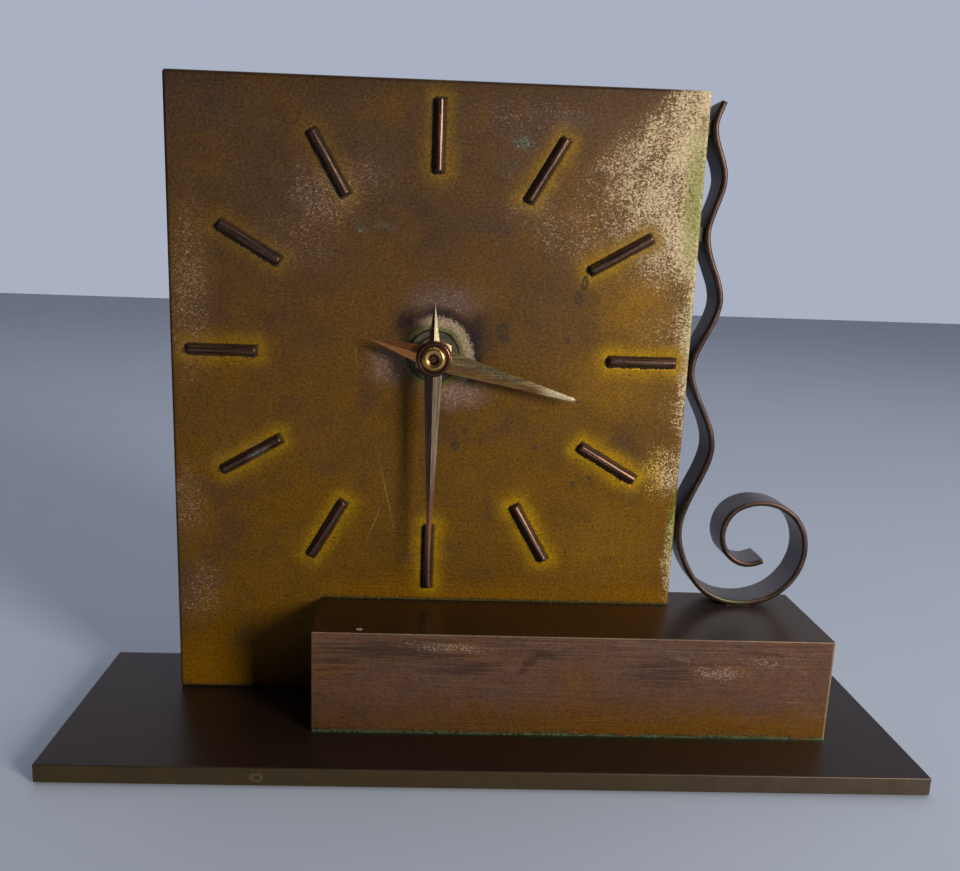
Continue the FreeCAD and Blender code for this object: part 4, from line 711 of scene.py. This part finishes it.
def makeBarMaterial(look):
    # noises stretched along each bar: light where one is high, dark pits and worn lines by threshold
    material, tree, shader, place, _ = startMaterial("hourBarBrass")
    own = alongField(tree)
    cut = noise(tree, own, 1.0, 3.0, 0.6, stretch=(0.07, 3.2, 1.0))
    fine = noise(tree, own, 1.6, 3.0, 0.6)
    colour = blend(tree, cut.step(0.36, 0.62), look["dark"], look["light"])
    colour = blend(tree, fine.step(0.60, 0.34) * 0.5, colour, look["pit"])
    colour = blend(tree, cut.step(0.62, 0.70) * 0.7, colour, look["worn"])
    # one bar has a pink and green blot near its inner end
    blot = patch(tree, warped(tree, place, 0.6, 0.8), -85.0, 101.0, 5.0, 2.0, 25.0, 1.0, depth=12.0, core=0.3)
    colour = blend(tree, blot * 0.8, colour, look["blotPink"])
    colour = blend(tree, blot * fine.step(0.50, 0.56), colour, look["blotGreen"])
    feed(tree, shader.inputs["Base Color"], colour)
    shader.inputs["Metallic"].default_value = 0.9
    feed(tree, shader.inputs["Roughness"], fine * 0.2 + cut * 0.1 + 0.20)
    bump(tree, shader, cut + fine * 0.3, 0.00008, 0.9)
    return material


def makeHourBars(look):
    brass = makeBarMaterial(look)
    for hour in range(1, look["count"] + 1):
        a, b, h = hourBarGrid(look, hour)
        own = np.stack([a + 40.0 * hour, b, h], axis=-1)
        bar = surfacePiece(f"hourBar_{hour:02d}", [onDial(hour, a, b, h)], [own])
        finish(bar, brass, "clock_case", "brass_bright", f"hour_marker_{hour:02d}")
    # the crust's dark tones: crust, and on the lower left partly painted shade
    crustAndShade = makeMetal("barCrustAndShade", look["crustAndShade"], look["crustShadeDark"], 0.75, 0.1, scale=2.5, dent=0.0002)
    grids = [crustGrid(look, hour) for hour in range(1, look["count"] + 1)]
    finish(surfacePiece("barCrustAndShade", grids, wrapRows=True), crustAndShade, "clock_case", "brass_bright")


# the wavy strip and its scroll

stripLook = {
    # its middle line seen from the front: across and up
    "line": [(76.6, 229.9), (73.9, 221.0), (78.6, 204.5), (76.3, 193.5), (74.4, 184.5), (77.4, 173.3),
             (81.0, 161.8), (77.4, 149.6), (72.9, 136.6), (77.4, 123.2), (83.0, 107.5), (78.6, 92.6),
             (73.5, 75.0), (78.0, 59.8), (86.0, 50.1), (98.2, 46.15), (114.4, 50.9), (122.8, 66.5),
             (118.7, 79.8), (104.5, 86.3), (93.4, 81.9), (90.4, 73.0), (94.1, 64.8), (101.0, 61.9),
             (107.5, 63.7)],
    "thick": 2.1, "deep": 14.3, "corner": 0.38, "rows": 460,
    "front": tone(80, 62, 54), "dark": tone(32, 29, 32), "broad": tone(50, 46, 49), "worn": tone(124, 96, 80),
    "green": tone(84, 92, 60), "gap": tone(15, 13, 14), "paintedLit": tone(132, 122, 126),
    "curlGrain": tone(168, 150, 140), "frontDark": tone(50, 39, 36),
}


def stripGrid(look):
    # a flat bar's rounded section carried along the middle line, its ends rounded over; hammering makes
    # it uneven
    line = smoothLine(look["line"], look["rows"])
    way = np.gradient(line, axis=0)
    way /= np.linalg.norm(way, axis=1)[:, None]
    across = np.stack([-way[:, 1], way[:, 0]], axis=1)
    section = roundedOutline(look["thick"] / 2, look["deep"] / 2, look["corner"], 44)
    length = np.concatenate([[0.0], np.cumsum(np.linalg.norm(np.diff(line, axis=0), axis=1))])
    fromEnd = np.minimum(length, length[-1] - length)
    cap = np.sqrt(np.clip(1 - (1 - np.clip(fromEnd / 0.7, 0.0, 1.0)) ** 2, 0.0, 1.0))
    thickness = cap * (1 + 0.018 * ripple(look["rows"], 5, 60, False))
    depth = np.where(fromEnd > 0, 0.94 + 0.06 * cap, 0.0)
    depth = depth * (1 - 0.004 * np.abs(ripple(look["rows"], 6, 45, False)))
    n, d = section[:, 0] * thickness[:, None], section[:, 1] * depth[:, None]
    middle = faceY + look["deep"] / 2
    grid = np.stack([line[:, :1] + across[:, :1] * n, middle + d, line[:, 1:] + across[:, 1:] * n], axis=-1)
    own = np.stack([np.broadcast_to(length[:, None], n.shape), d, n], axis=-1)
    return grid, own


def makeStripMaterial(look):
    # noises stretched along the strip; its front edge, its broad faces and its curl each take their own
    # tones; faces that point up and the curl's left-facing inside are painted lighter as lit, faces that
    # point left higher up are painted near-black shade, and the worn front corners are partly a painted
    # highlight
    material, tree, shader, _, (_, y, z) = startMaterial("stripBrass")
    own = alongField(tree)
    streak = noise(tree, own, 1.0, 4.0, 0.62, stretch=(0.12, 1.4, 1.4))
    fine = noise(tree, own, 1.7, 3.0, 0.6)
    broad = noise(tree, own, 0.09, 3.0, 0.5)
    edgeOn = facing(tree, 1).step(-0.55, -0.85)
    side = blend(tree, (streak * 0.6 + broad * 0.5).step(0.38, 0.68), look["dark"], look["broad"])
    # worn brass along the front corners of the broad faces, partly a painted highlight
    rim = (y + (fine - 0.5) * 1.6 + (broad - 0.5) * 0.8).step(14.9, 14.2)
    # painted light: faces that point up, and the curl's faces that point left, are painted lighter as if lit
    curlLit = z.step(96.0, 84.0) * facing(tree, 0).step(0.1, -0.5) * 0.45
    side = blend(tree, (facing(tree, 2).step(-0.2, 0.8) * 0.7).most(curlLit), side, look["paintedLit"])
    side = blend(tree, fine.step(0.56, 0.68) * curlLit, side, look["curlGrain"])
    # faces that point left, above the curl, are painted near-black: painted shade
    side = blend(tree, z.step(78.0, 92.0) * facing(tree, 0).step(0.2, -0.3) * 0.97, side, look["gap"])
    side = blend(tree, rim * 0.4, side, look["worn"])
    front = blend(tree, streak.step(0.36, 0.62), look["frontDark"], look["front"])
    front = blend(tree, fine.step(0.58, 0.70) * 0.6, front, look["worn"])
    colour = blend(tree, edgeOn, side, front)
    foot = z.step(52.0, 46.0) * broad.step(0.35, 0.6)
    colour = blend(tree, foot * 0.45, colour, look["green"])
    feed(tree, shader.inputs["Base Color"], colour)
    shader.inputs["Metallic"].default_value = 0.85
    shader.inputs["Specular IOR Level"].default_value = 0.2
    feed(tree, shader.inputs["Roughness"], streak * 0.2 + fine * 0.12 + 0.26)
    bump(tree, shader, streak + fine * 0.5, 0.00006, 0.8)
    return material


def makeStrip(look):
    grid, own = stripGrid(look)
    strip = surfacePiece("scrollRibbon", [grid], [own])
    finish(strip, makeStripMaterial(look), "clock_case", "brass_strip", "scroll_strip")


# hands: polished and tarnished brass whose flanks are painted lighter as lit and darker as shaded, with
# painted highlights; a turned nut and collar in the middle

handLook = {
    # radius and depth, from the bore's back round the front to the rim
    "nut": [(2.02, 3.0), (2.02, 1.95), (1.30, 1.93), (1.26, 1.80), (1.34, 1.68), (1.9, 1.52),
            (2.4, 1.36), (2.8, 1.24), (3.15, 1.20), (3.5, 1.25), (3.85, 1.42), (4.15, 1.72),
            (4.36, 2.1), (4.46, 2.55), (4.48, 3.0)],
    "collar": [(4.62, 3.9), (4.62, 3.05), (4.75, 2.80), (5.0, 2.68), (5.35, 2.64), (5.75, 2.70),
               (6.05, 2.86), (6.22, 3.12), (6.26, 3.5), (6.26, 3.9)],
    "gold": tone(214, 172, 100), "brown": tone(112, 74, 54), "dark": tone(60, 46, 42),
    "rust": tone(176, 104, 56), "pale": tone(250, 226, 180),
    "leftLight": tone(96, 74, 60), "rightDark": tone(120, 98, 78), "rightLight": tone(168, 144, 112),
    "underDark": tone(116, 82, 46), "underLight": tone(160, 118, 68), "overDark": tone(150, 124, 88),
    "overLight": tone(214, 184, 136), "mottle": tone(74, 66, 44), "rustLight": tone(206, 140, 84),
    "bore": tone(26, 14, 10), "goldDark": tone(150, 104, 58),
}


def makeMinuteMetal(look):
    # along the hand: dark near the hub, rust brown towards the tip; the left flank is painted darker as shade
    # and the right flank lighter as lit, each with drawn tarnish lines
    material, tree, shader, place, (x, _, z) = startMaterial("minuteHandBrass")
    rise = z - dial["z"]
    fine = noise(tree, place, 1.4, 3.0, 0.6)
    drawn = noise(tree, place, 1.0, 3.0, 0.6, stretch=(3.0, 1.0, 0.10))
    right = facing(tree, 0).step(-0.04, 0.04)
    shadedFlank = blend(tree, drawn.step(0.35, 0.65), look["dark"], look["leftLight"])
    litFlank = blend(tree, drawn.step(0.35, 0.65), look["rightDark"], look["rightLight"])
    litFlank = blend(tree, rise.step(-30.0, -60.0) * 0.7, litFlank, look["brown"])
    colour = blend(tree, right, shadedFlank, litFlank)
    colour = blend(tree, rise.step(-44.0, -62.0) * fine.step(0.35, 0.6) * 0.6, colour, look["rust"])
    # the tail's right flank is painted pale: a painted highlight
    tail = rise.step(5.0, 7.0)
    colour = blend(tree, tail * right, colour, look["pale"])
    hub = ((x - dial["x"]) * (x - dial["x"]) + rise * rise).math("SQRT").step(6.6, 6.2)
    colour = blend(tree, hub, colour, look["brown"])
    feed(tree, shader.inputs["Base Color"], colour)
    shader.inputs["Metallic"].default_value = 0.95
    feed(tree, shader.inputs["Roughness"], fine * 0.14 + drawn * 0.10 + 0.12)
    bump(tree, shader, drawn + fine * 0.4, 0.00002, 0.7)
    return material


def makeHourMetal(look):
    # golden brown lower flank and paler mottled upper flank, the difference painted light and shade, a
    # painted highlight near the tip and rust brown on the tail
    material, tree, shader, place, (x, _, _) = startMaterial("hourHandBrass")
    out = x - dial["x"]
    fine = noise(tree, place, 1.5, 3.0, 0.6)
    drawn = noise(tree, place, 1.0, 3.0, 0.6, stretch=(0.12, 1.0, 2.6), turn=math.radians(15))
    upper = facing(tree, 2).step(-0.04, 0.04)
    under = blend(tree, drawn.step(0.35, 0.65), look["underDark"], look["underLight"])
    over = blend(tree, drawn.step(0.3, 0.7), look["overDark"], look["overLight"])
    mottled = out.step(8.0, 16.0) * out.step(38.0, 28.0)
    over = blend(tree, fine.step(0.42, 0.56) * mottled * 0.75, over, look["mottle"])
    over = blend(tree, fine.step(0.60, 0.70) * 0.5, over, look["pale"])
    # the upper flank is painted paler as lit, the lower flank darker as shaded
    colour = blend(tree, upper, under, over)
    # bright near the tip: a painted highlight
    colour = blend(tree, out.step(36.0, 44.0) * 0.85, colour, look["pale"])
    colour = blend(tree, out.step(50.5, 52.0), colour, look["brown"])
    tail = out.step(-4.0, -6.0)
    colour = blend(tree, tail, colour, blend(tree, drawn.step(0.3, 0.7), look["rust"], look["rustLight"]))
    feed(tree, shader.inputs["Base Color"], colour)
    shader.inputs["Metallic"].default_value = 0.95
    feed(tree, shader.inputs["Roughness"], fine * 0.14 + drawn * 0.10 + 0.14)
    bump(tree, shader, drawn + fine * 0.4, 0.00002, 0.7)
    return material


def makeTurnedMetal(name, light, dark, bore, rough):
    # rings left by the lathe: a wave of the distance from the dial's axis; the hole round the axis is painted
    # near-black as shade
    material, tree, shader, place, (x, _, z) = startMaterial(name)
    dx, dz = x - dial["x"], z - dial["z"]
    radius = (dx * dx + dz * dz).math("SQRT")
    fine = noise(tree, place, 1.8, 3.0, 0.6)
    rings = (radius * 26.0 + fine * 5.0).math("SINE") * 0.5 + 0.5
    colour = blend(tree, (fine * 0.8 + rings * 0.3).step(0.35, 0.75), dark, light)
    # the hole round the axis is painted near-black: painted shade
    colour = blend(tree, radius.step(2.4, 1.6) * 0.97, colour, bore)
    feed(tree, shader.inputs["Base Color"], colour)
    shader.inputs["Metallic"].default_value = 0.95
    feed(tree, shader.inputs["Roughness"], fine * 0.16 + (rough - 0.08))
    bump(tree, shader, rings * 0.5 + fine, 0.00001, 0.6)
    return material


def makeHands(look):
    assign(makeMinuteMetal(look), "minute_hand")
    assign(makeHourMetal(look), "hour_hand")
    nut = turned("handNutTurned", look["nut"])
    nutBrass = makeTurnedMetal("nutBrass", look["gold"], look["goldDark"], look["bore"], 0.22)
    finish(nut, nutBrass, "minute_hand_set", "brass_bright", "hand_nut")
    collar = turned("handCollar", look["collar"])
    collarBrass = makeTurnedMetal("collarBrass", look["brown"], look["dark"], look["bore"], 0.26)
    finish(collar, collarBrass, "minute_hand_set", "brass_bright")


# plainer metals, plastics and the rest

def makeMetal(name, light, dark, rough, metal, scale=1.5, dent=0.00003):
    # a fine and a slow noise mix light with dark, and a third noise above its threshold makes small pits
    material, tree, shader, place, _ = startMaterial(name)
    fine = noise(tree, place, scale, 4.0, 0.6)
    broad = noise(tree, place, 0.06, 3.0, 0.55)
    pits = noise(tree, place, scale * 1.7, 2.0, 0.5, shift=(5, 5, 5)).step(0.66, 0.74)
    colour = blend(tree, (fine * 0.5 + broad * 0.5).step(0.34, 0.66), dark, light)
    colour = blend(tree, pits * 0.4, colour, tuple(c * 0.35 for c in dark))
    feed(tree, shader.inputs["Base Color"], colour)
    shader.inputs["Metallic"].default_value = metal
    feed(tree, shader.inputs["Roughness"], fine * 0.22 + (rough - 0.11))
    bump(tree, shader, fine - pits * 0.5, dent, 0.8)
    return material


def makePlastic(name, light, dark, rough):
    # a fine and a slow noise mix light with dark
    material, tree, shader, place, _ = startMaterial(name)
    fine = noise(tree, place, 3.0, 2.0, 0.5)
    broad = noise(tree, place, 0.08, 2.0, 0.5)
    mixed = (fine * 0.4 + broad * 0.6).step(0.3, 0.7)
    feed(tree, shader.inputs["Base Color"], blend(tree, mixed, dark, light))
    feed(tree, shader.inputs["Roughness"], fine * 0.15 + (rough - 0.07))
    shader.inputs["Metallic"].default_value = 0.0
    bump(tree, shader, fine, 0.00003, 0.6)
    return material


# the back: battery, knob, a moulded arrow and the pads underneath

backLook = {
    "cellEnd": [(0.0, 0.0), (5.4, 0.0), (5.6, 0.12), (5.7, 0.4), (6.5, 0.42), (6.9, 0.55), (7.08, 0.9),
                (7.1, 1.4)],
    "cellCap": [(7.1, 3.4), (7.06, 2.9), (6.85, 2.5), (6.3, 2.35), (5.4, 2.3), (5.2, 1.7), (2.8, 1.6),
                (2.66, 1.3), (2.6, 0.3), (2.35, 0.04), (0.0, 0.0)],
    "knob": [(0.0, 0.1), (4.7, 0.0), (5.2, 0.2), (5.36, 0.6), (5.36, 4.1), (5.2, 4.5), (4.75, 4.75),
             (4.2, 4.8), (3.6, 4.45), (2.2, 4.3), (0.0, 4.3)],
    "flutes": 26, "fluteDepth": 0.026,
    "arrow": {"radius": 7.7, "from": -62.0, "to": 70.0, "wide": 0.42, "tall": 0.35, "head": 1.35},
    "pad": [(0.0, 0.0), (7.2, 0.0), (7.75, 0.10), (7.98, 0.34), (7.90, 0.62), (7.5, 0.80), (0.0, 0.80)],
}


def middleOf(name):      # a node's box: its middle and its lowest and highest corner, in millimetres
    low, high = (np.array(corner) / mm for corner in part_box(name))
    return (low + high) / 2, low, high


def makeArrow(look, centre, back):
    # a raised line along an arc whose width swells into a point at its end
    t = np.linspace(0.0, 1.0, 60)
    angle = np.radians(look["from"] + (look["to"] - look["from"]) * t)
    head = np.clip((t - 0.82) / 0.18, 0.0, 1.0)
    wide = np.where(head > 0, look["head"] * (1 - head), look["wide"]) * np.clip(t * 30, 0.0, 1.0)
    turn = np.linspace(0.0, 2 * np.pi, 12, endpoint=False)
    radius = look["radius"] + wide[:, None] * np.cos(turn)
    depth = back + look["tall"] * np.sin(turn) * np.clip(wide[:, None] / look["wide"], 0.0, 1.0)
    x = centre[0] + radius * np.sin(angle)[:, None]
    z = centre[2] + radius * np.cos(angle)[:, None]
    grid = np.stack([x, depth, z], axis=-1)
    return surfacePiece("turnArrow", [grid])


def makePads(look):
    # four crowned discs of felt, each with its own uneven rim
    high = middleOf("felt_pads")[2]
    radius, height = np.array(look["pad"]).T
    angle = np.linspace(0.0, 2 * np.pi, 90, endpoint=False)
    grids = []
    for number, (sideX, sideY) in enumerate(((-1, -1), (-1, 1), (1, -1), (1, 1))):
        wide = radius[:, None] * (1 - 0.012 * np.abs(ripple(90, 500 + number, 30)))
        x = sideX * (high[0] - radius.max()) + wide * np.sin(angle)
        y = sideY * (high[1] - radius.max()) + wide * np.cos(angle)
        grids.append(np.stack([x, y, np.broadcast_to(height[:, None], x.shape)], axis=-1))
    return surfacePiece("feltPads", grids)


cellLook = {
    "black": tone(34, 34, 36), "copper": tone(206, 128, 70), "rubbed": tone(150, 146, 140),
    "steel": tone(196, 194, 188), "steelDark": tone(150, 148, 144),
    "cap": 14.8, "join": 0.4, "bareEnd": 3.8, "bareBottom": 1.2,
}


def makeCellMaterial(look, low, high):
    # a plain sleeve: copper at the raised end, black over the rest, bare steel at both ends
    material, tree, shader, place, (x, _, _) = startMaterial("cellSleeve")
    fine = noise(tree, place, 1.6, 3.0, 0.6)
    rub = noise(tree, place, 1.0, 3.0, 0.6, stretch=(0.2, 2.0, 2.0))
    sleeve = blend(tree, x.step(high - look["cap"] - look["join"], high - look["cap"]), look["black"],
                   look["copper"])
    sleeve = blend(tree, rub.step(0.62, 0.74) * 0.35, sleeve, look["rubbed"])
    bare = x.step(high - 4.0, high - look["bareEnd"]).most(x.step(low + 1.4, low + look["bareBottom"]))
    colour = blend(tree, bare, sleeve, blend(tree, fine, look["steel"], look["steelDark"]))
    feed(tree, shader.inputs["Base Color"], colour)
    feed(tree, shader.inputs["Metallic"], bare * 0.6 + 0.35)
    feed(tree, shader.inputs["Roughness"], fine * 0.15 + rub * 0.1 + 0.2)
    bump(tree, shader, rub + fine * 0.5, 0.00002, 0.6)
    return material


panelLook = {
    "dark": tone(112, 84, 50), "light": tone(158, 124, 78), "brown": tone(96, 68, 44),
    "rim": tone(58, 42, 30), "spot": tone(64, 50, 34),
    "left": -116.5, "right": 71.5, "foot": 8.0, "top": 232.5, "window": 29.0,
}


def makePanelMaterial(look):
    # brass sheet brushed up and down, browner towards its edges and round the window
    material, tree, shader, place, (x, _, z) = startMaterial("rearPanelBrass")
    brushed = noise(tree, place, 1.0, 4.0, 0.65, stretch=(3.4, 1.0, 0.05))
    fine = noise(tree, place, 1.2, 3.0, 0.6)
    broad = noise(tree, place, 0.02, 3.0, 0.55)
    spots = noise(tree, place, 0.5, 3.0, 0.6).step(0.66, 0.74)
    colour = blend(tree, brushed.step(0.30, 0.70), look["dark"], look["light"])
    colour = blend(tree, broad.step(0.40, 0.70) * 0.45, colour, look["brown"])
    rim = x.step(-112.0, look["left"]).most(x.step(67.0, look["right"]))
    rim = rim.most(z.step(228.0, look["top"])).most(z.step(14.0, look["foot"]))
    middle = middleOf("movement_cover")[0]
    window = ((x - middle[0]).abs() - look["window"]).most((z - middle[2]).abs() - look["window"])
    rim = (rim + (window + (fine - 0.5) * 4.0).step(4.0, 0.0)).least(1.0)
    colour = blend(tree, rim * 0.6, colour, look["rim"])
    colour = blend(tree, spots * 0.5, colour, look["spot"])
    feed(tree, shader.inputs["Base Color"], colour)
    shader.inputs["Metallic"].default_value = 0.85
    feed(tree, shader.inputs["Roughness"], brushed * 0.2 + broad * 0.1 + 0.26)
    bump(tree, shader, brushed + fine * 0.3, 0.00003, 0.7)
    return material


windingLook = {"dark": tone(120, 56, 30), "light": tone(206, 116, 66), "wires": 30.0}


def makeWindingMaterial(look):
    # enamelled copper wire: a fine wave along the coil
    material, tree, shader, place, (x, _, _) = startMaterial("coilWire")
    fine = noise(tree, place, 2.0, 2.0, 0.5)
    wires = (x * look["wires"] + fine * 2.0).math("SINE") * 0.5 + 0.5
    feed(tree, shader.inputs["Base Color"], blend(tree, wires, look["dark"], look["light"]))
    shader.inputs["Metallic"].default_value = 0.9
    feed(tree, shader.inputs["Roughness"], fine * 0.1 + 0.25)
    bump(tree, shader, wires, 0.00005, 0.8)
    return material


boardLook = {"dark": tone(24, 84, 54), "light": tone(32, 98, 62), "track": tone(112, 128, 70)}


def makeBoardMaterial(look):
    # green lacquered board with paler copper lines under the lacquer
    material, tree, shader, place, _ = startMaterial("circuitLacquer")
    fine = noise(tree, place, 2.0, 2.0, 0.5)
    cells = noise(tree, place, 0.35, 1.0, 0.4)
    tracks = ((cells * 9.0).math("FRACT") - 0.5).abs().step(0.42, 0.47)
    base = blend(tree, fine, look["dark"], look["light"])
    feed(tree, shader.inputs["Base Color"], blend(tree, tracks * 0.7, base, look["track"]))
    feed(tree, shader.inputs["Roughness"], fine * 0.1 + 0.3)
    bump(tree, shader, tracks, 0.00003, 0.6)
    return material


def makeBack(look, black, felt):
    middle, low, high = middleOf("battery_cell")
    cell = [(r, low[0] + d) for r, d in look["cellEnd"]] + [(r, high[0] - d) for r, d in look["cellCap"]]
    battery = turned("batteryCell", cell, (middle[1], middle[2]), "x", closed=False)
    finish(battery, makeCellMaterial(cellLook, low[0], high[0]), "clock_case", "cell_label", "battery_cell")
    middle, low, high = middleOf("setting_knob")
    knob = [(r, low[1] + d) for r, d in look["knob"]]
    around = look["flutes"] * 12      # twelve points to each flute
    fluted = turned("settingKnob", knob, (middle[0], middle[2]), "y", around, look["fluteDepth"],
                    look["flutes"], False)
    finish(fluted, black, "setting_set", "moulding", "setting_knob")
    back = middleOf("movement_cover")[2][1]
    finish(makeArrow(look["arrow"], middle, back), black, "clock_case", "moulding")
    finish(makePads(look), felt, "clock_case", "felt", "felt_pads")


feltLook = {"dark": tone(142, 26, 18), "light": tone(206, 62, 40), "fluff": tone(226, 110, 84)}


def makeFelt(look):
    # pressed red wool: short curled fibres and paler fluff
    material, tree, shader, place, _ = startMaterial("redFelt")
    fibres = noise(tree, warped(tree, place, 1.2, 0.5), 3.0, 4.0, 0.7)
    fluff = noise(tree, place, 0.9, 3.0, 0.6)
    colour = blend(tree, fibres.step(0.35, 0.65), look["dark"], look["light"])
    feed(tree, shader.inputs["Base Color"], blend(tree, fluff.step(0.55, 0.75) * 0.4, colour, look["fluff"]))
    shader.inputs["Roughness"].default_value = 0.95
    shader.inputs["Sheen Weight"].default_value = 0.4
    bump(tree, shader, fibres + fluff * 0.5, 0.00015, 1.0)
    return material


arborLook = {
    "dark": tone(206, 200, 182), "light": tone(226, 222, 205), "metalDark": tone(74, 54, 40),
    "metalLight": tone(120, 90, 60),
    "metalEnd": 12.0,      # the depth at which the moulding gives way to metal
}


def makeArborMaterial(look):
    # pale moulded wheels whose long front ends are darkened brass
    material, tree, shader, place, (_, y, _) = startMaterial("arborWheel")
    fine = noise(tree, place, 1.8, 2.0, 0.5)
    moulded = blend(tree, fine, look["dark"], look["light"])
    metal = y.step(12.4, look["metalEnd"])
    dull = blend(tree, fine, look["metalDark"], look["metalLight"])
    feed(tree, shader.inputs["Base Color"], blend(tree, metal, moulded, dull))
    feed(tree, shader.inputs["Metallic"], metal * 0.9)
    feed(tree, shader.inputs["Roughness"], fine * 0.15 + metal * -0.1 + 0.3)
    bump(tree, shader, fine, 0.00002, 0.6)
    return material


floorLook = {
    "light": tone(178, 185, 197), "dark": tone(174, 181, 193), "dim": tone(48, 51, 56),
    "lamp": (920.0, -980.0), "dimFrom": 980.0, "dimTo": 350.0, "dullFrom": 1250.0, "dullTo": 900.0,
}


def makeFloorMaterial(look):
    # a pale even top; it darkens and loses its shine with nearness to the point below the lamp, so that
    # it is lit no brighter there than elsewhere
    material, tree, shader, place, (x, y, _) = startMaterial("paleTop")
    broad = noise(tree, place, 0.01, 2.0, 0.5)
    dx, dy = x - look["lamp"][0], y - look["lamp"][1]
    distance = (dx * dx + dy * dy).math("SQRT")
    pale = blend(tree, broad, look["light"], look["dark"])
    dimmed = distance.step(look["dimFrom"], look["dimTo"]) * 0.8
    feed(tree, shader.inputs["Base Color"], blend(tree, dimmed, pale, look["dim"]))
    feed(tree, shader.inputs["Roughness"], broad * 0.1 + 0.46)
    shine = distance.step(look["dullFrom"], look["dullTo"]) * -0.28 + 0.3
    feed(tree, shader.inputs["Specular IOR Level"], shine)
    bump(tree, shader, broad, 0.000001, 0.2)
    return material


makeCamera(viewFrom)
makeLights(lightPlan)

floorMesh = bpy.data.meshes.new("paleFloor")
floorMesh.from_pydata([(-3, -3, 0), (3, -3, 0), (3, 3, 0), (-3, 3, 0)], [], [(0, 1, 2, 3)])
paleFloor = bpy.data.objects.new("paleFloor", floorMesh)
scene.collection.objects.link(paleFloor)
floorMesh.materials.append(makeFloorMaterial(floorLook))
print("camera, light and floor ready")

assign(makeFaceMaterial(faceLook), "case_shell")
assign(makePlinthMaterial(plinthLook), "plinth_box")
assign(makeBaseMaterial(baseLook), "base_plate")
print("case, plinth and base finished")

makeHourBars(barLook)
makeStrip(stripLook)
makeHands(handLook)
print("hour bars, strip and hands finished")

fittingBrass = makeMetal("fittingBrass", tone(190, 164, 118), tone(140, 112, 74), 0.32, 0.85)
blockBrass = makeMetal("blockBrass", tone(178, 142, 88), tone(130, 98, 58), 0.35, 0.9)
plainSteel = makeMetal("plainSteel", tone(176, 174, 168), tone(128, 124, 118), 0.30, 0.9)
nickel = makeMetal("nickel", tone(196, 192, 182), tone(160, 156, 146), 0.24, 0.95)
ferrite = makeMetal("ferrite", tone(62, 62, 64), tone(44, 44, 46), 0.5, 0.4)
solder = makeMetal("solder", tone(74, 66, 50), tone(38, 34, 28), 0.5, 0.6)
blackPlastic = makePlastic("blackPlastic", tone(44, 44, 45), tone(34, 34, 35), 0.48)
bobbinPlastic = makePlastic("bobbinPlastic", tone(70, 66, 62), tone(56, 53, 50), 0.45)
wheelPlastic = makePlastic("wheelPlastic", tone(226, 222, 205), tone(206, 200, 182), 0.35)
rubber = makePlastic("rubber", tone(34, 32, 31), tone(24, 23, 22), 0.75)
felt = makeFelt(feltLook)
finishes = {
    blockBrass: ("corner_lugs", "case_blocks", "plinth_blocks"),
    fittingBrass: ("dial_nut",),
    makeMetal("washerBrass", tone(96, 92, 66), tone(40, 38, 32), 0.5, 0.4): ("dial_washer",),
    solder: ("solder_pads",),
    nickel: ("contact_positive", "contact_negative", "quartz_crystal"),
    ferrite: ("rotor_magnet", "stator_plate"),
    plainSteel: ("base_screws", "rear_screws"),
    blackPlastic: ("movement_case", "movement_cover", "train_plate"),
    bobbinPlastic: ("coil_bobbin",),
    rubber: ("dial_gasket",),
    wheelPlastic: ("third_wheel", "fifth_wheel", "rotor_pinion", "minute_wheel", "hour_wheel",
                   "setting_shaft"),
    makeArborMaterial(arborLook): ("centre_wheel", "second_wheel"),
    makePanelMaterial(panelLook): ("rear_panel",),
    makeWindingMaterial(windingLook): ("coil_winding",),
    makeBoardMaterial(boardLook): ("circuit_board",),
}
for material, names in finishes.items():
    assign(material, *names)
makeBack(backLook, blackPlastic, felt)
print("movement, back and pads finished")
